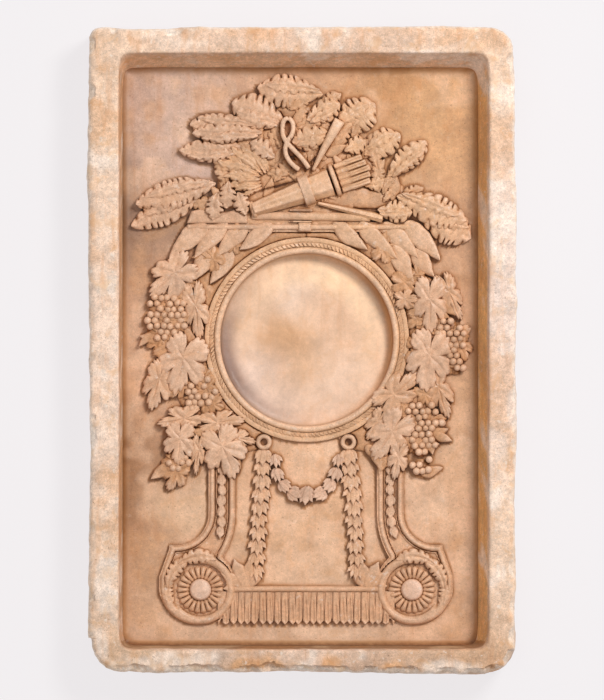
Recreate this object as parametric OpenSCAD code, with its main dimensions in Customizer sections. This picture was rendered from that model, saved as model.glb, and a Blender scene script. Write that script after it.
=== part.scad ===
// Plaster tray mould with a clock-front relief in the neoclassical taste.
// It lies on its back: +X to the right, +Y to the top of the ornament, +Z out of the face.
// The origin is on the flat back, at the middle of the tray. Millimetres.
// Ornaments are stacked in courses: each course rests on the one below it.

/* [Tray] */
// Width over the rim
tray_w = 622; // [604:1:640]
// Length over the rim
tray_l = 940; // [926:1:960]
// Thickness of the floor slab
floor_t = 30; // [26:1:40]
// Height of the rim above the floor
wall_h = 58; // [45:1:80]
// Distance from the middle to the floor's left edge
floor_left = 261; // [258:1:264]
// Distance from the middle to the floor's right edge
floor_right = 256; // [252:1:258]
// Distance from the middle to the floor's top edge
floor_top = 411; // [408:1:416]
// Distance from the middle to the floor's bottom edge
floor_bottom = 430; // [426:1:436]

/* [Dial] */
// Radius of the round dial recess
dial_r = 126; // [120:1:128]
// Width of the bezel moulding
bezel_w = 23; // [22:0.5:24]
// Depth of the recess below the floor
dial_depth = 16; // [8:1:18]
// Number of leaf tips round the bezel
bezel_tips = 72; // [36:6:90]

/* [Ornament] */
// Thickness of one course of ornament
course_t = 8; // [6:0.5:9]
// Depth of the midrib cut in each leaf
rib_d = 1.5; // [1:0.5:3]
// Radius of a grape
grape_r = 6; // [5:0.5:7]
// Number of petals in a rosette
petals = 22; // [12:2:22]
// Number of husks in each hanging drop
drop_husks = 10; // [6:1:10]
// Number of husks in the swag
swag_husks = 9; // [7:2:9]
// Pitch of the tongues along the plinth
tongue_pitch = 10.6; // [9.5:0.1:14]

/* [Back] */
// Width of the wooden laths set in the back
lath_w = 38; // [25:1:45]
// Thickness of the laths
lath_t = 10; // [8:2:12]

/* [Hidden] */
axis_x = 6;                      // the ornament's axis of symmetry
dial_c = [7, 15];
bezel_r = dial_r + bezel_w;
tray_h = floor_t + wall_h;
corner_r = [22, 38, 52, 46];     // outer corners: top left, top right, bottom left, bottom right
draft_left = 4;                  // how far each wall leans back over its height
draft_right = 14;
draft_top = 18;
draft_bottom = 3;
fit_gap = 0.2;                   // gap where one piece is let into another
leaf_gap = 0.8;                  // gap between neighbours in one course
clear_h = 300;                   // taller than the object, for cutting tools

plaster = "#d9ab83";
pale_plaster = "#ecd0b8";
warm_plaster = "#e3b48b";
dark_plaster = "#c99b72";
lath_wood = "#9a7448";

// Leaves are [x, y, direction, length, width]. The place is the stem end, and vine leaves measure
// from the point where their veins meet.
OAK_BACK = [
    [-76, 293, 184, 98, 31], [-60, 323, 179, 101, 33], [-24, 331, 160, 80, 46], [30, 372, 172, 92, 44],
    [50, 318, 36, 66, 48], [92, 283, 36, 58, 36], [126, 252, 44, 74, 30],
    [170, 202, 330, 84, 46], [-150, 222, 203, 102, 34], [92, 238, 12, 34, 18]];
OAK_FRONT = [
    [-57, 316, 182, 98, 27], [-126, 243, 195, 116, 38], [8, 334, 26, 52, 32], [140, 223, 342, 101, 40],
    [44, 314, 189, 58, 32], [110, 205, 355, 50, 28], [62, 290, 22, 34, 24], [-40, 281, 150, 40, 27]];
OAK_SPRIG = [[-107, 246, 270, 38, 25], [-124, 229, 261, 38, 23], [-92, 230, 288, 34, 22]];
LAUREL_UPPER_LEFT = [
    [-152, 173, 220, 52, 26], [-123, 173, 231, 50, 25], [-91, 173, 231, 50, 24], [-57, 173, 219, 44, 21]];
LAUREL_UPPER_RIGHT = [
    [60, 173, 321, 47, 21], [96, 173, 318, 55, 24], [130, 173, 316, 53, 25], [162, 173, 312, 54, 26]];
LAUREL_LOWER_LEFT = [[-138, 138, 240, 44, 24], [-111, 132, 240, 44, 22]];
LAUREL_LOWER_RIGHT = [[140, 136, 300, 46, 24], [170, 134, 312, 40, 22]];
VINE_BACK_LEFT = [
    [-156, 66, 280, 50, 34], [-208, -44, 256, 42, 38], [-124, -106, 4, 40, 30],
    [-172, -98, 196, 38, 34], [-151, -146, 264, 34, 20], [-96, -128, 348, 28, 24]];
VINE_FRONT_LEFT = [
    [-184, 112, 220, 48, 50], [-172, -12, 254, 52, 60], [-178, -129, 266, 38, 40],
    [-116, -141, 290, 46, 54]];
VINE_BACK_RIGHT = [
    [214, 84, 290, 44, 28], [197, -52, 286, 46, 32], [152, -50, 222, 46, 42],
    [110, -104, 240, 30, 24], [156, 76, 196, 26, 28]];
VINE_FRONT_RIGHT = [
    [186, 74, 268, 48, 44], [186, -6, 264, 52, 58], [132, -118, 236, 48, 50], [140, -155, 264, 32, 26]];
// Clusters are [x, y, direction, length, width], from the stem end.
GRAPES_UPPER_LEFT = [-192, 88, 259, 86, 60];
GRAPES_LOWER_LEFT = [-124, -34, 231, 74, 46];
GRAPES_UPPER_RIGHT = [207, 54, 281, 92, 46];
GRAPES_LOWER_RIGHT = [173, -76, 270, 80, 58];
GRAPES_FOOT_LEFT = [-182, -156, 268, 30, 36];
GRAPES_FOOT_RIGHT = [171, -158, 280, 30, 36];

// Trophy: a quiver crossed by a torch, tied to the bar by ribbon
quiver_foot = [-72, 204];
quiver_dir = 20;
quiver_len = 126;
quiver_r = [12, 24];             // at the foot and at the mouth
ribbon_at = 84;                  // distance of the ribbon from the quiver's foot
arrow_len = 56;
arrow_r = 4.2;
arrow_count = 5;
torch_foot = [106, 194];
torch_dir = 161.5;
torch_len = 168;
torch_w = [13, 28];
flame_at = [-52, 248];
bar_y = 179;
bar_x = [-168, 174];
bar_w = 8;
staff_y = 196;
staff_x = [-74, 100];
staff_w = 13;

// Plinth and scroll brackets, with x measured outwards from the axis
eye_c = [154, -349];             // centre of each scroll's eye
eye_r = 51;
scroll_c = [158, -344];
scroll_r = 56;
arm_x = 103;
arm_w = 39;
arm_top = -162;
arm_foot = -237;
shoulder_r = 126;                // the arm's inner edge below its foot
hollow_r = 47;                   // the arm's outer edge below its foot
hollow_c = [arm_x + arm_w + hollow_r, arm_foot];
scroll_edge = 199;
border_w = 7;
panel_t = 4;                     // thickness of the sunk panel between the borders
rail_y = [-353, -344];
plinth_foot = -400;
rosette_r = [16, 35, 39];        // button, petals, inside of the eye's ring
ring_x = 61.5;
ring_y = -134;
ring_r = [5, 11.5];

function course(n) = floor_t + n * course_t;
function mirror_x(side) = side == "left" ? 1 : 0;
function arc(c, r, from, to, steps = 6) =
    [for (i = [0:steps]) let (a = from + (to - from) * i / steps) c + r * [cos(a), sin(a)]];
function bezier(p, t) =
    pow(1 - t, 3) * p[0] + 3 * t * pow(1 - t, 2) * p[1] + 3 * t * t * (1 - t) * p[2] + pow(t, 3) * p[3];

// ---- leaf outlines, each with its midrib along +X ----

// Half width of an oak leaf at t from stem to tip, with rounded lobes and sharp sinuses
function oak_half(t, lobes) = sin(180 * pow(t, 0.8)) * (0.6 + 0.4 * pow(abs(sin(180 * lobes * t)), 0.6));
function oak_side(len, wid, lobes, side, steps = 40) =
    [for (i = [1:steps - 1]) let (t = i / steps, y = wid / 2 * oak_half(t, lobes))
        [len * t + 0.22 * y * (1 - t), side * y]];
function reversed(list) = [for (i = [len(list) - 1:-1:0]) list[i]];
function oak_outline(len, wid, lobes) =
    concat([[0, 0]], oak_side(len, wid, lobes, 1), [[len, 0]], reversed(oak_side(len, wid, lobes, -1)));

// A vine leaf's reach by angle from its tip: five pointed lobes, and a notch at the stalk
VINE_REACH = [[0, 1], [16, 0.74], [34, 0.5], [50, 0.8], [62, 0.88], [76, 0.68], [96, 0.42], [116, 0.62],
    [130, 0.68], [148, 0.52], [166, 0.36], [180, 0.12]];
VINE_SPAN = 0.78;                // how far the side lobes reach from the midrib, as a share of the length
vine_steps = 72;
function vine_outline(len, wid) =
    [for (i = [0:vine_steps - 1]) let (a = 360 * i / vine_steps, reach = lookup(min(a, 360 - a), VINE_REACH),
            tooth = i % 2 == 0 ? 0.04 : 0)
        len * (reach + tooth) * [cos(a), sin(a) * wid / (2 * VINE_SPAN * len)]];

function laurel_side(len, wid, side, steps = 12) =
    [for (i = [1:steps - 1]) let (t = i / steps) [len * t, side * wid / 2 * sin(180 * pow(t, 0.7))]];
function laurel_outline(len, wid) =
    concat([[0, 0]], laurel_side(len, wid, 1), [[len, 0]], reversed(laurel_side(len, wid, -1)));

function leaf_outline(kind, leaf) =
    kind == "vine" ? vine_outline(leaf[3], leaf[4]) :
    kind == "laurel" ? laurel_outline(leaf[3], leaf[4]) :
    oak_outline(leaf[3], leaf[4], max(3, round(leaf[3] / 17)));

// ---- shared modules ----

module at_leaf(leaf) {
    translate([leaf[0], leaf[1]]) rotate(leaf[2]) children();
}

module leaf_shapes(kind, list) {
    for (leaf = list) at_leaf(leaf) polygon(leaf_outline(kind, leaf));
}

module grown_leaf_shapes(kind, list) {
    for (leaf = list) offset(delta = leaf_gap) at_leaf(leaf) polygon(leaf_outline(kind, leaf));
}

// The leaves before the i-th one in a list that lie near enough to touch it
function near_before(list, i) =
    [for (j = [0:1:i - 1]) let (a = list[i], b = list[j],
            mid_a = [a[0], a[1]] + a[3] / 2 * [cos(a[2]), sin(a[2])],
            mid_b = [b[0], b[1]] + b[3] / 2 * [cos(b[2]), sin(b[2])])
        if (norm(mid_a - mid_b) < (a[3] + b[3]) / 2 + 15) b];

// A course of leaves. Each is a flat solid with its midrib cut in the top, wide at the stem, and
// stops short of the leaves before it in the list.
module leaves(kind, list, n) {
    for (i = [0:len(list) - 1]) translate([0, 0, course(n)]) difference() {
        linear_extrude(course_t) difference() {
            leaf_shapes(kind, [list[i]]);
            grown_leaf_shapes(kind, near_before(list, i));
        }
        translate([0, 0, course_t - rib_d]) linear_extrude(course_t) at_leaf(list[i])
            polygon([[0.08 * list[i][3], -1.2], [0.86 * list[i][3], 0], [0.08 * list[i][3], 1.2]]);
    }
}

module leaves_round_bezel(kind, list, n) {
    difference() {
        leaves(kind, list, n);
        translate(dial_c) cylinder(r = bezel_r + fit_gap, h = clear_h, $fn = 128);
    }
}

// A flat band of width w along a Bezier curve
module band(p, w, h, steps = 14) {
    pts = [for (i = [0:steps]) bezier(p, i / steps)];
    dirs = [for (i = [0:steps]) let (a = pts[max(0, i - 1)], b = pts[min(steps, i + 1)]) (b - a) / norm(b - a)];
    side = function (s) [for (i = [0:steps]) pts[i] + s * w / 2 * [-dirs[i][1], dirs[i][0]]];
    linear_extrude(h) polygon(concat(side(1), reversed(side(-1))));
}

// A bell-shaped husk of three petals that opens towards -Y
module husk(w, h, t) {
    linear_extrude(t) polygon([[-0.16 * w, h / 2], [0.16 * w, h / 2], [0.5 * w, -0.08 * h], [0.4 * w, -h / 2],
        [0.22 * w, -0.24 * h], [0, -h / 2], [-0.22 * w, -0.24 * h], [-0.4 * w, -h / 2], [-0.5 * w, -0.08 * h]]);
}

// True where a vine leaf reaches within margin of point p
function vine_covers(leaf, p, margin) =
    let (d = p - [leaf[0], leaf[1]], c = cos(leaf[2]), s = sin(leaf[2]),
        q = [d[0] * c + d[1] * s, (d[1] * c - d[0] * s) * 2 * VINE_SPAN * leaf[3] / leaf[4]])
    norm(q) < leaf[3] * (lookup(abs(atan2(q[1], q[0])), VINE_REACH) + 0.04) + margin;
function is_covered(vines, p, margin) = max([for (leaf = vines) vine_covers(leaf, p, margin) ? 1 : 0]) > 0;

// Grapes in rows that keep inside an egg-shaped outline, each a ball cut flat where it sits. The
// vine leaves of the same course leave no room for those that they reach.
module grapes(cluster, vines, n = 1) {
    pitch = 2 * grape_r + 0.6;
    row = pitch * 0.87;
    rows = floor(cluster[3] / row);
    color(plaster) translate([0, 0, course(n)])
        for (i = [0:rows - 1]) {
            x = (i + 0.5) * row;
            half = cluster[4] / 2 * pow(sin(180 * pow((i + 0.8) / (rows + 0.7), 0.85)), 0.7);
            per_side = max(0, floor((half - grape_r - (i % 2) * pitch / 2) / pitch + 0.35));
            for (k = [-per_side - (i % 2):per_side]) {
                y = (k + (i % 2) / 2) * pitch;
                place = [cluster[0] + x * cos(cluster[2]) - y * sin(cluster[2]),
                    cluster[1] + x * sin(cluster[2]) + y * cos(cluster[2])];
                if (!is_covered(vines, place, grape_r + 2) && norm(place - dial_c) > bezel_r + grape_r + 1)
                    translate(place) intersection() {
                        translate([0, 0, grape_r * 0.35]) sphere(grape_r, $fn = 24);
                        translate([-pitch, -pitch, 0]) cube(2 * pitch);
                    }
            }
        }
}

// ---- tray ----

module plan() {
    w = tray_w / 2;
    l = tray_l / 2;
    r = corner_r;
    polygon(concat(
        arc([-w + r[0], l - r[0]], r[0], 180, 90), arc([w - r[1], l - r[1]], r[1], 90, 0),
        arc([w - r[3], -l + r[3]], r[3], 0, -90), arc([-w + r[2], -l + r[2]], r[2], -90, -180)));
}

// A rim bar: plain below the floor, and leaning back by draft above it. It runs along +Y, with its
// inner face at x = 0 and the bar on the +X side.
module rim_bar(draft) {
    reach = 120;
    translate([0, tray_l / 2, 0]) rotate([90, 0, 0]) linear_extrude(tray_l)
        polygon([[0, 0], [reach, 0], [reach, tray_h], [draft, tray_h], [0, floor_t]]);
}

module bar_left() { translate([-floor_left, 0, 0]) mirror([1, 0, 0]) rim_bar(draft_left); }
module bar_right() { translate([floor_right, 0, 0]) rim_bar(draft_right); }

module rim_left() {
    color(pale_plaster) intersection() { linear_extrude(tray_h) plan(); bar_left(); }
}

module rim_right() {
    color(pale_plaster) intersection() { linear_extrude(tray_h) plan(); bar_right(); }
}

// The end bars fit between the side bars
module rim_end(bar_y0, turn, draft) {
    color(pale_plaster) difference() {
        intersection() {
            linear_extrude(tray_h) plan();
            translate([0, bar_y0, 0]) rotate(turn) rim_bar(draft);
        }
        bar_left();
        bar_right();
    }
}

module rim_top() { rim_end(floor_top, 90, draft_top); }
module rim_bottom() { rim_end(-floor_bottom, -90, draft_bottom); }

module lath_bars(list, extra = 0) {
    for (b = list) translate([b[0] - b[2] / 2 - extra, b[1] - b[3] / 2 - extra, 0])
        cube([b[2] + 2 * extra, b[3] + 2 * extra, lath_t + extra]);
}

lath_gap_x = 160;
lath_gap_y = 250;
LONG_LATHS = [for (s = [-1, 1]) [s * lath_gap_x, -10, lath_w, 780]];
CROSS_LATHS = [for (s = [-1, 1]) [-2, s * lath_gap_y - 10, 460, lath_w]];

module floor_slab() {
    color(plaster) difference() {
        translate([-floor_left, -floor_bottom, 0])
            cube([floor_left + floor_right, floor_bottom + floor_top, floor_t]);
        translate([dial_c[0], dial_c[1], -1]) cylinder(r = dial_r, h = floor_t + 2, $fn = 128);
        translate([0, 0, -1]) {
            lath_bars(LONG_LATHS, 1);
            lath_bars(CROSS_LATHS, 1);
        }
    }
}

// The laths cross in half-lap joints, and lie flush with the back
module laths_long() {
    color(lath_wood) difference() {
        lath_bars(LONG_LATHS);
        for (b = CROSS_LATHS) translate([b[0] - b[2] / 2, b[1] - b[3] / 2 - fit_gap, lath_t / 2 - fit_gap])
            cube([b[2], b[3] + 2 * fit_gap, lath_t]);
    }
}

module laths_cross() {
    color(lath_wood) difference() {
        lath_bars(CROSS_LATHS);
        for (b = LONG_LATHS) translate([b[0] - b[2] / 2 - fit_gap, b[1] - b[3] / 2, -1])
            cube([b[2] + 2 * fit_gap, b[3], lath_t / 2 + 1]);
    }
}

// ---- dial ----

module dial_floor() {
    r = dial_r - fit_gap;
    top = floor_t - dial_depth;
    cove = 7;
    color(warm_plaster) translate(dial_c) rotate_extrude($fn = 128) difference() {
        square([r, top + cove]);
        polygon([[0, top], [r - cove, top], [r - cove, top + cove + 1], [0, top + cove + 1]]);
        translate([r - cove, top + cove]) circle(cove, $fn = 48);
    }
}

bezel_base = 5;                  // height of the bezel's flat
bezel_round = [4.5, 3.5];        // radii of its inner and outer half rounds

module bezel() {
    color(plaster) translate([dial_c[0], dial_c[1], floor_t]) rotate_extrude($fn = 128) {
        translate([dial_r, 0]) square([bezel_w, bezel_base]);
        translate([dial_r + bezel_round[0], bezel_base]) circle(bezel_round[0], $fn = 48);
        translate([bezel_r - bezel_round[1], bezel_base]) circle(bezel_round[1], $fn = 48);
    }
}

module bezel_leaf_tips() {
    track = [dial_r + 2 * bezel_round[0], bezel_r - 2 * bezel_round[1]];
    r = (track[0] + track[1]) / 2;
    half_l = (track[1] - track[0]) / 2 - fit_gap;
    tip_w = 2 * PI * r / bezel_tips * 0.8;
    color(warm_plaster) translate([dial_c[0], dial_c[1], floor_t + bezel_base]) for (i = [0:bezel_tips - 1])
        rotate(360 * i / bezel_tips) translate([r, 0]) linear_extrude(2.5)
            polygon([[-half_l, 0], [-0.4 * half_l, tip_w / 2], [0.7 * half_l, tip_w / 2.4], [half_l, 0],
                [0.7 * half_l, -tip_w / 2.4], [-0.4 * half_l, -tip_w / 2]]);
}

// ---- trophy ----

module along(p, direction, z) {
    translate([p[0], p[1], z]) rotate(direction) rotate([0, 90, 0]) children();
}

// The room that the quiver, its ribbon, its band and its arrows take up
module quiver_plan() {
    end = quiver_len + arrow_len;
    band_r = quiver_r[1] + 2.2;
    translate(quiver_foot) rotate(quiver_dir) {
        polygon([[0, -quiver_r[0]], [quiver_len - 3, -quiver_r[1]], [quiver_len - 3, -band_r], [end, -band_r],
            [end, band_r], [quiver_len - 3, band_r], [quiver_len - 3, quiver_r[1]], [0, quiver_r[0]]]);
        translate([ribbon_at - 10, -quiver_r[1] - 1]) square([20, 2 * quiver_r[1] + 2]);
    }
}

module above_course(n) {
    intersection() {
        children();
        translate([-tray_w / 2, -tray_l / 2, course(n)]) cube([tray_w, tray_l, clear_h]);
    }
}

quiver_sink = 8;                 // how far the quiver's axis lies below the course that it rests on

module quiver() {
    color(warm_plaster) above_course(1) along(quiver_foot, quiver_dir, course(1) - quiver_sink + 2)
        cylinder(r1 = quiver_r[0], r2 = quiver_r[1], h = quiver_len - 4, $fn = 64);
}

module quiver_band() {
    mouth = quiver_r[1] + 1;
    start = quiver_foot + (quiver_len - 3) * [cos(quiver_dir), sin(quiver_dir)];
    color(plaster) above_course(1) along(start, quiver_dir, course(1) - quiver_sink + 2)
        cylinder(r = mouth + 1, h = 8, $fn = 64);
}

module arrows() {
    start = quiver_foot + (quiver_len + 6) * [cos(quiver_dir), sin(quiver_dir)];
    across = [-sin(quiver_dir), cos(quiver_dir)];
    pitch = 2 * arrow_r + 0.6;
    color(plaster) for (i = [0:arrow_count - 1]) {
        k = i - (arrow_count - 1) / 2;
        along(start + k * pitch * across, quiver_dir, course(1) + arrow_r)
            cylinder(r = arrow_r, h = arrow_len - 6 - 3 * abs(k), $fn = 32);
    }
}

// The torch passes behind the quiver, so it shows as a handle on one side and a cup on the other
module torch() {
    color(warm_plaster) translate([0, 0, course(1)]) linear_extrude(course_t) difference() {
        translate(torch_foot) rotate(torch_dir)
            polygon([[0, -torch_w[0] / 2], [torch_len, -torch_w[1] / 2], [torch_len, torch_w[1] / 2],
                [0, torch_w[0] / 2]]);
        quiver_plan();
    }
}

// Five tongues of flame that spread from the torch's cup
FLAME = [[-54, 258, 117, 36, 15], [-60, 259, 140, 54, 18], [-64, 256, 160, 62, 19], [-63, 248, 178, 52, 16],
    [-60, 240, 192, 36, 13]];
module torch_flame() {
    color(plaster) leaves("laurel", FLAME, 1);
}

module crossbar() {
    color(warm_plaster) above_course(0) along([bar_x[0], bar_y], 0, floor_t + 1.5)
        cylinder(d = bar_w, h = bar_x[1] - bar_x[0], $fn = 32);
}

module crossbar_clip() {
    color(plaster) above_course(0) difference() {
        along([axis_x - 12, bar_y], 0, floor_t + 1.5) cylinder(d = bar_w + 6, h = 20, $fn = 32);
        along([axis_x - 13, bar_y], 0, floor_t + 1.5) cylinder(d = bar_w + 2 * fit_gap, h = 22, $fn = 32);
    }
}

module crossbar_end() {
    color(plaster) translate([0, 0, floor_t]) linear_extrude(course_t)
        polygon([[-168, 184], [-161, 202], [-148, 205], [-112, 200], [-98, 204], [-79, 198], [-79, 184]]);
}

module staff() {
    color(plaster) above_course(0) along([staff_x[0], staff_y], -1, floor_t)
        cylinder(d = staff_w, h = staff_x[1] - staff_x[0], $fn = 48);
}

module ribbon_band() {
    c = quiver_foot + ribbon_at * [cos(quiver_dir), sin(quiver_dir)];
    r = 19.8;
    color(pale_plaster) above_course(1) difference() {
        along(c - 9 * [cos(quiver_dir), sin(quiver_dir)], quiver_dir, course(1) - quiver_sink + 2)
            cylinder(r1 = r + 3, r2 = r + 4.6, h = 17, $fn = 64);
        quiver();
    }
}

module ribbon_knot() {
    color(pale_plaster) translate([0, 0, floor_t]) difference() {
        translate([-17 + axis_x - 8, staff_y - 10, 0]) cube([34, 19, course_t + 3]);
        along([staff_x[0] - 5, staff_y], -1, 0) cylinder(d = staff_w + 2 * fit_gap, h = 220, $fn = 48);
        translate([0, 0, -floor_t]) torch_space();
    }
}

module torch_space() {
    translate([0, 0, course(1) - fit_gap]) linear_extrude(clear_h) {
        translate(torch_foot) rotate(torch_dir) translate([0, -torch_w[1] / 2]) square([torch_len, torch_w[1]]);
        quiver_plan();
    }
}

module ribbon_loop() {
    loop_w = 6.5;
    color(pale_plaster) translate([0, 0, course(2)]) {
        band([[-4, 262], [-32, 280], [-25, 300], [-18, 308]], loop_w, course_t);
        band([[10, 264], [-4, 290], [-32, 300], [-28, 322]], loop_w, course_t);
        band([[-18, 308], [-10, 318], [-11, 334], [-20, 337]], loop_w, course_t);
        band([[-28, 322], [-29, 330], [-27, 336], [-20, 337]], loop_w, course_t);
    }
}

module spray_stem() {
    color(warm_plaster) translate([0, 0, course(2)]) linear_extrude(course_t)
        polygon([[14, 262], [18, 260], [36, 290], [62, 330], [48, 338], [28, 296]]);
}

// ---- oak spray ----

// The ground mass that the front leaves rest on, let in between the back leaves
module oak_bed() {
    color(dark_plaster) translate([0, 0, floor_t]) linear_extrude(course_t) difference() {
        polygon([[-128, 208], [-120, 262], [-96, 306], [-70, 326], [-30, 356], [24, 356], [54, 344],
            [92, 300], [120, 262], [150, 236], [170, 212], [150, 206], [-112, 206]]);
        leaf_shapes("oak", OAK_BACK);
    }
}

module oak_leaves_back() { color(plaster) leaves("oak", OAK_BACK, 0); }

// Front leaves stop short of the torch, the quiver and its arrows
module oak_leaves_front() {
    color(warm_plaster) difference() {
        leaves("oak", OAK_FRONT, 1);
        translate([0, 0, course(1) - 1]) linear_extrude(clear_h) {
            quiver_plan();
            grown_leaf_shapes("laurel", [FLAME[0]]);
        }
    }
}

module oak_sprig() {
    color(warm_plaster) difference() {
        leaves("oak", OAK_SPRIG, 1);
        translate([0, 0, course(1) - 1]) linear_extrude(clear_h) {
            quiver_plan();
            grown_leaf_shapes("laurel", FLAME);
        }
    }
}

// ---- laurel fans under the crossbar ----

module laurel_upper_left() { color(plaster) leaves_round_bezel("laurel", LAUREL_UPPER_LEFT, 1); }
module laurel_upper_right() { color(plaster) leaves_round_bezel("laurel", LAUREL_UPPER_RIGHT, 1); }
module laurel_lower_left() { color(dark_plaster) leaves_round_bezel("laurel", LAUREL_LOWER_LEFT, 0); }
module laurel_lower_right() { color(dark_plaster) leaves_round_bezel("laurel", LAUREL_LOWER_RIGHT, 0); }

// ---- vine garlands ----

// An egg-shaped pad under a cluster of grapes
function pad_outline(cluster, steps = 28) =
    [for (i = [0:steps - 1]) let (a = 360 * i / steps)
        [cluster[3] / 2 * (1 + cos(a)), (cluster[4] / 2 - 5) * sin(a)]];

// The ground mass of a garland follows the bezel and widens under each cluster, let in between
// the back leaves
module garland_bed(side, back, laurel, clusters) {
    s = side == "left" ? -1 : 1;
    color(dark_plaster) translate([0, 0, floor_t]) linear_extrude(course_t) difference() {
        union() {
            intersection() {
                translate(dial_c) circle(206, $fn = 128);
                polygon([for (p = [[0, -90], [66, -144], [86, -148], [150, -164], [230, -140], [230, 84],
                    [176, 108], [118, 160], [44, 172], [0, 172]]) [axis_x + s * p[0], p[1]]]);
                translate([axis_x + (s < 0 ? -300 : 0), -300]) square([300, 600]);
            }
            for (cluster = clusters) at_leaf(cluster) polygon(pad_outline(cluster));
        }
        translate(dial_c) circle(bezel_r + fit_gap, $fn = 128);
        translate([axis_x + s * ring_x, ring_y]) circle(ring_r[1] + 1, $fn = 48);
        translate([axis_x, 0]) mirror([mirror_x(side), 0]) scroll_outline(-fit_gap);
        leaf_shapes("vine", back);
        leaf_shapes("laurel", laurel);
    }
}

module garland_bed_left() {
    garland_bed("left", VINE_BACK_LEFT, LAUREL_LOWER_LEFT,
        [GRAPES_UPPER_LEFT, GRAPES_LOWER_LEFT, GRAPES_FOOT_LEFT]);
}
module garland_bed_right() {
    garland_bed("right", VINE_BACK_RIGHT, LAUREL_LOWER_RIGHT,
        [GRAPES_UPPER_RIGHT, GRAPES_LOWER_RIGHT, GRAPES_FOOT_RIGHT]);
}
module vine_back_left() { color(plaster) leaves_round_bezel("vine", VINE_BACK_LEFT, 0); }
module vine_back_right() { color(plaster) leaves_round_bezel("vine", VINE_BACK_RIGHT, 0); }
module vine_front_left() { color(warm_plaster) leaves_round_bezel("vine", VINE_FRONT_LEFT, 1); }
module vine_front_right() { color(warm_plaster) leaves_round_bezel("vine", VINE_FRONT_RIGHT, 1); }

// ---- hanging ornament ----

module ring(s) {
    r = (ring_r[1] - ring_r[0]) / 2;
    color(warm_plaster) translate([axis_x + s * ring_x, ring_y, floor_t]) rotate_extrude($fn = 64) {
        translate([ring_r[0], 0]) square([2 * r, 7]);
        translate([ring_r[0] + r, 7]) circle(r, $fn = 32);
    }
}

// Husks hang below the ring, each opening downwards, and lean a little outwards
module drop(s) {
    pitch = 18.6;
    color(plaster) for (i = [0:drop_husks - 1])
        translate([axis_x + s * (ring_x + 1 + 1.3 * i), ring_y - 24 - pitch * i, floor_t])
            husk(23 - 0.7 * i, pitch - 0.8, course_t);
}

// Husks follow a half ellipse, and both halves open towards the middle
module swag() {
    half_w = 46;
    sag = 56;
    color(plaster) for (i = [0:swag_husks - 1]) {
        a = 6 + 168 * i / (swag_husks - 1);
        middle = i == (swag_husks - 1) / 2;
        heading = atan2(-sag * cos(a), half_w * sin(a)) + (a > 90 ? 180 : 0);
        translate([axis_x + 1 - half_w * cos(a), -158 - sag * sin(a), floor_t])
            rotate(heading + (middle ? 0 : 90)) husk(9 + 8 * sin(a), middle ? 17 : 14.4, course_t);
    }
}

// ---- scroll brackets and plinth ----

// Outline of a scroll bracket, drawn inset by i from its edge
module scroll_outline(i) {
    difference() {
        union() {
            translate([arm_x + i, arm_foot]) square([arm_w - 2 * i, arm_top - arm_foot - i]);
            intersection() {
                translate([arm_x + shoulder_r, arm_foot]) circle(shoulder_r - i, $fn = 128);
                translate([arm_x, scroll_c[1]]) square([scroll_edge - i - arm_x, arm_foot - scroll_c[1]]);
            }
            translate(scroll_c) circle(scroll_r - i, $fn = 128);
            polygon([[scroll_edge - i - 1, arm_foot - hollow_r - 2 - i], [scroll_c[0] + scroll_r - i, -330],
                [scroll_c[0] + scroll_r - i, scroll_c[1]], [scroll_edge - i - 1, scroll_c[1]]]);
        }
        translate(hollow_c) circle(hollow_r + i, $fn = 128);
    }
}

module scroll(side) {
    color(warm_plaster) translate([axis_x, 0, floor_t]) mirror([mirror_x(side), 0, 0]) {
        linear_extrude(panel_t) scroll_outline(0);
        linear_extrude(course_t) difference() {
            scroll_outline(0);
            scroll_outline(border_w);
        }
        linear_extrude(course_t) difference() {
            translate(eye_c) circle(eye_r, $fn = 128);
            translate(eye_c) circle(rosette_r[2], $fn = 128);
        }
    }
}

// Husks in the sunk panel, down the arm and round the outside of the eye
module scroll_chain(side) {
    pitch = 19;
    arm_count = floor((arm_top - arm_foot) / pitch);
    color(plaster) translate([axis_x, 0, floor_t + panel_t]) mirror([mirror_x(side), 0, 0]) {
        for (i = [0:arm_count - 1])
            translate([arm_x + arm_w / 2, arm_top - 16 - pitch * i, 0]) husk(11, pitch - 2, 3);
        for (i = [0:1]) let (a = 186 + 10 * i, r = shoulder_r - arm_w / 2)
            translate([arm_x + shoulder_r + r * cos(a), arm_foot + r * sin(a), 0])
                rotate(a - 180) husk(11, pitch - 3, 3);
    }
}

module rosette(side) {
    color(plaster) translate([axis_x, 0, floor_t + panel_t]) mirror([mirror_x(side), 0, 0])
        translate(eye_c) {
            for (i = [0:petals - 1]) rotate(360 * i / petals) linear_extrude(4)
                polygon([[rosette_r[0] + 1, -1.8], [rosette_r[1] - 5, -4.2], [rosette_r[1], 0],
                    [rosette_r[1] - 5, 4.2], [rosette_r[0] + 1, 1.8]]);
            cylinder(r = rosette_r[0] - 1, h = 6, $fn = 64);
        }
}

// An oak-like leaf in the corner where the scroll meets the rail
module corner_leaf(side) {
    color(plaster) difference() {
        translate([axis_x, 0, 0]) mirror([mirror_x(side), 0, 0])
            leaves("oak", [[92, -337, 62, 40, 28]], 0);
        translate([axis_x, 0, -1]) mirror([mirror_x(side), 0, 0]) linear_extrude(clear_h) scroll_space();
    }
}

module scroll_space() {
    translate(eye_c) circle(eye_r + fit_gap, $fn = 128);
    scroll_outline(-fit_gap);
}

module plinth_rail() {
    half = min(eye_c[0] - eye_r, scroll_c[0] - scroll_r) - fit_gap;
    color(warm_plaster) translate([axis_x - half, rail_y[0], floor_t])
        cube([2 * half, rail_y[1] - rail_y[0], course_t]);
}

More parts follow.
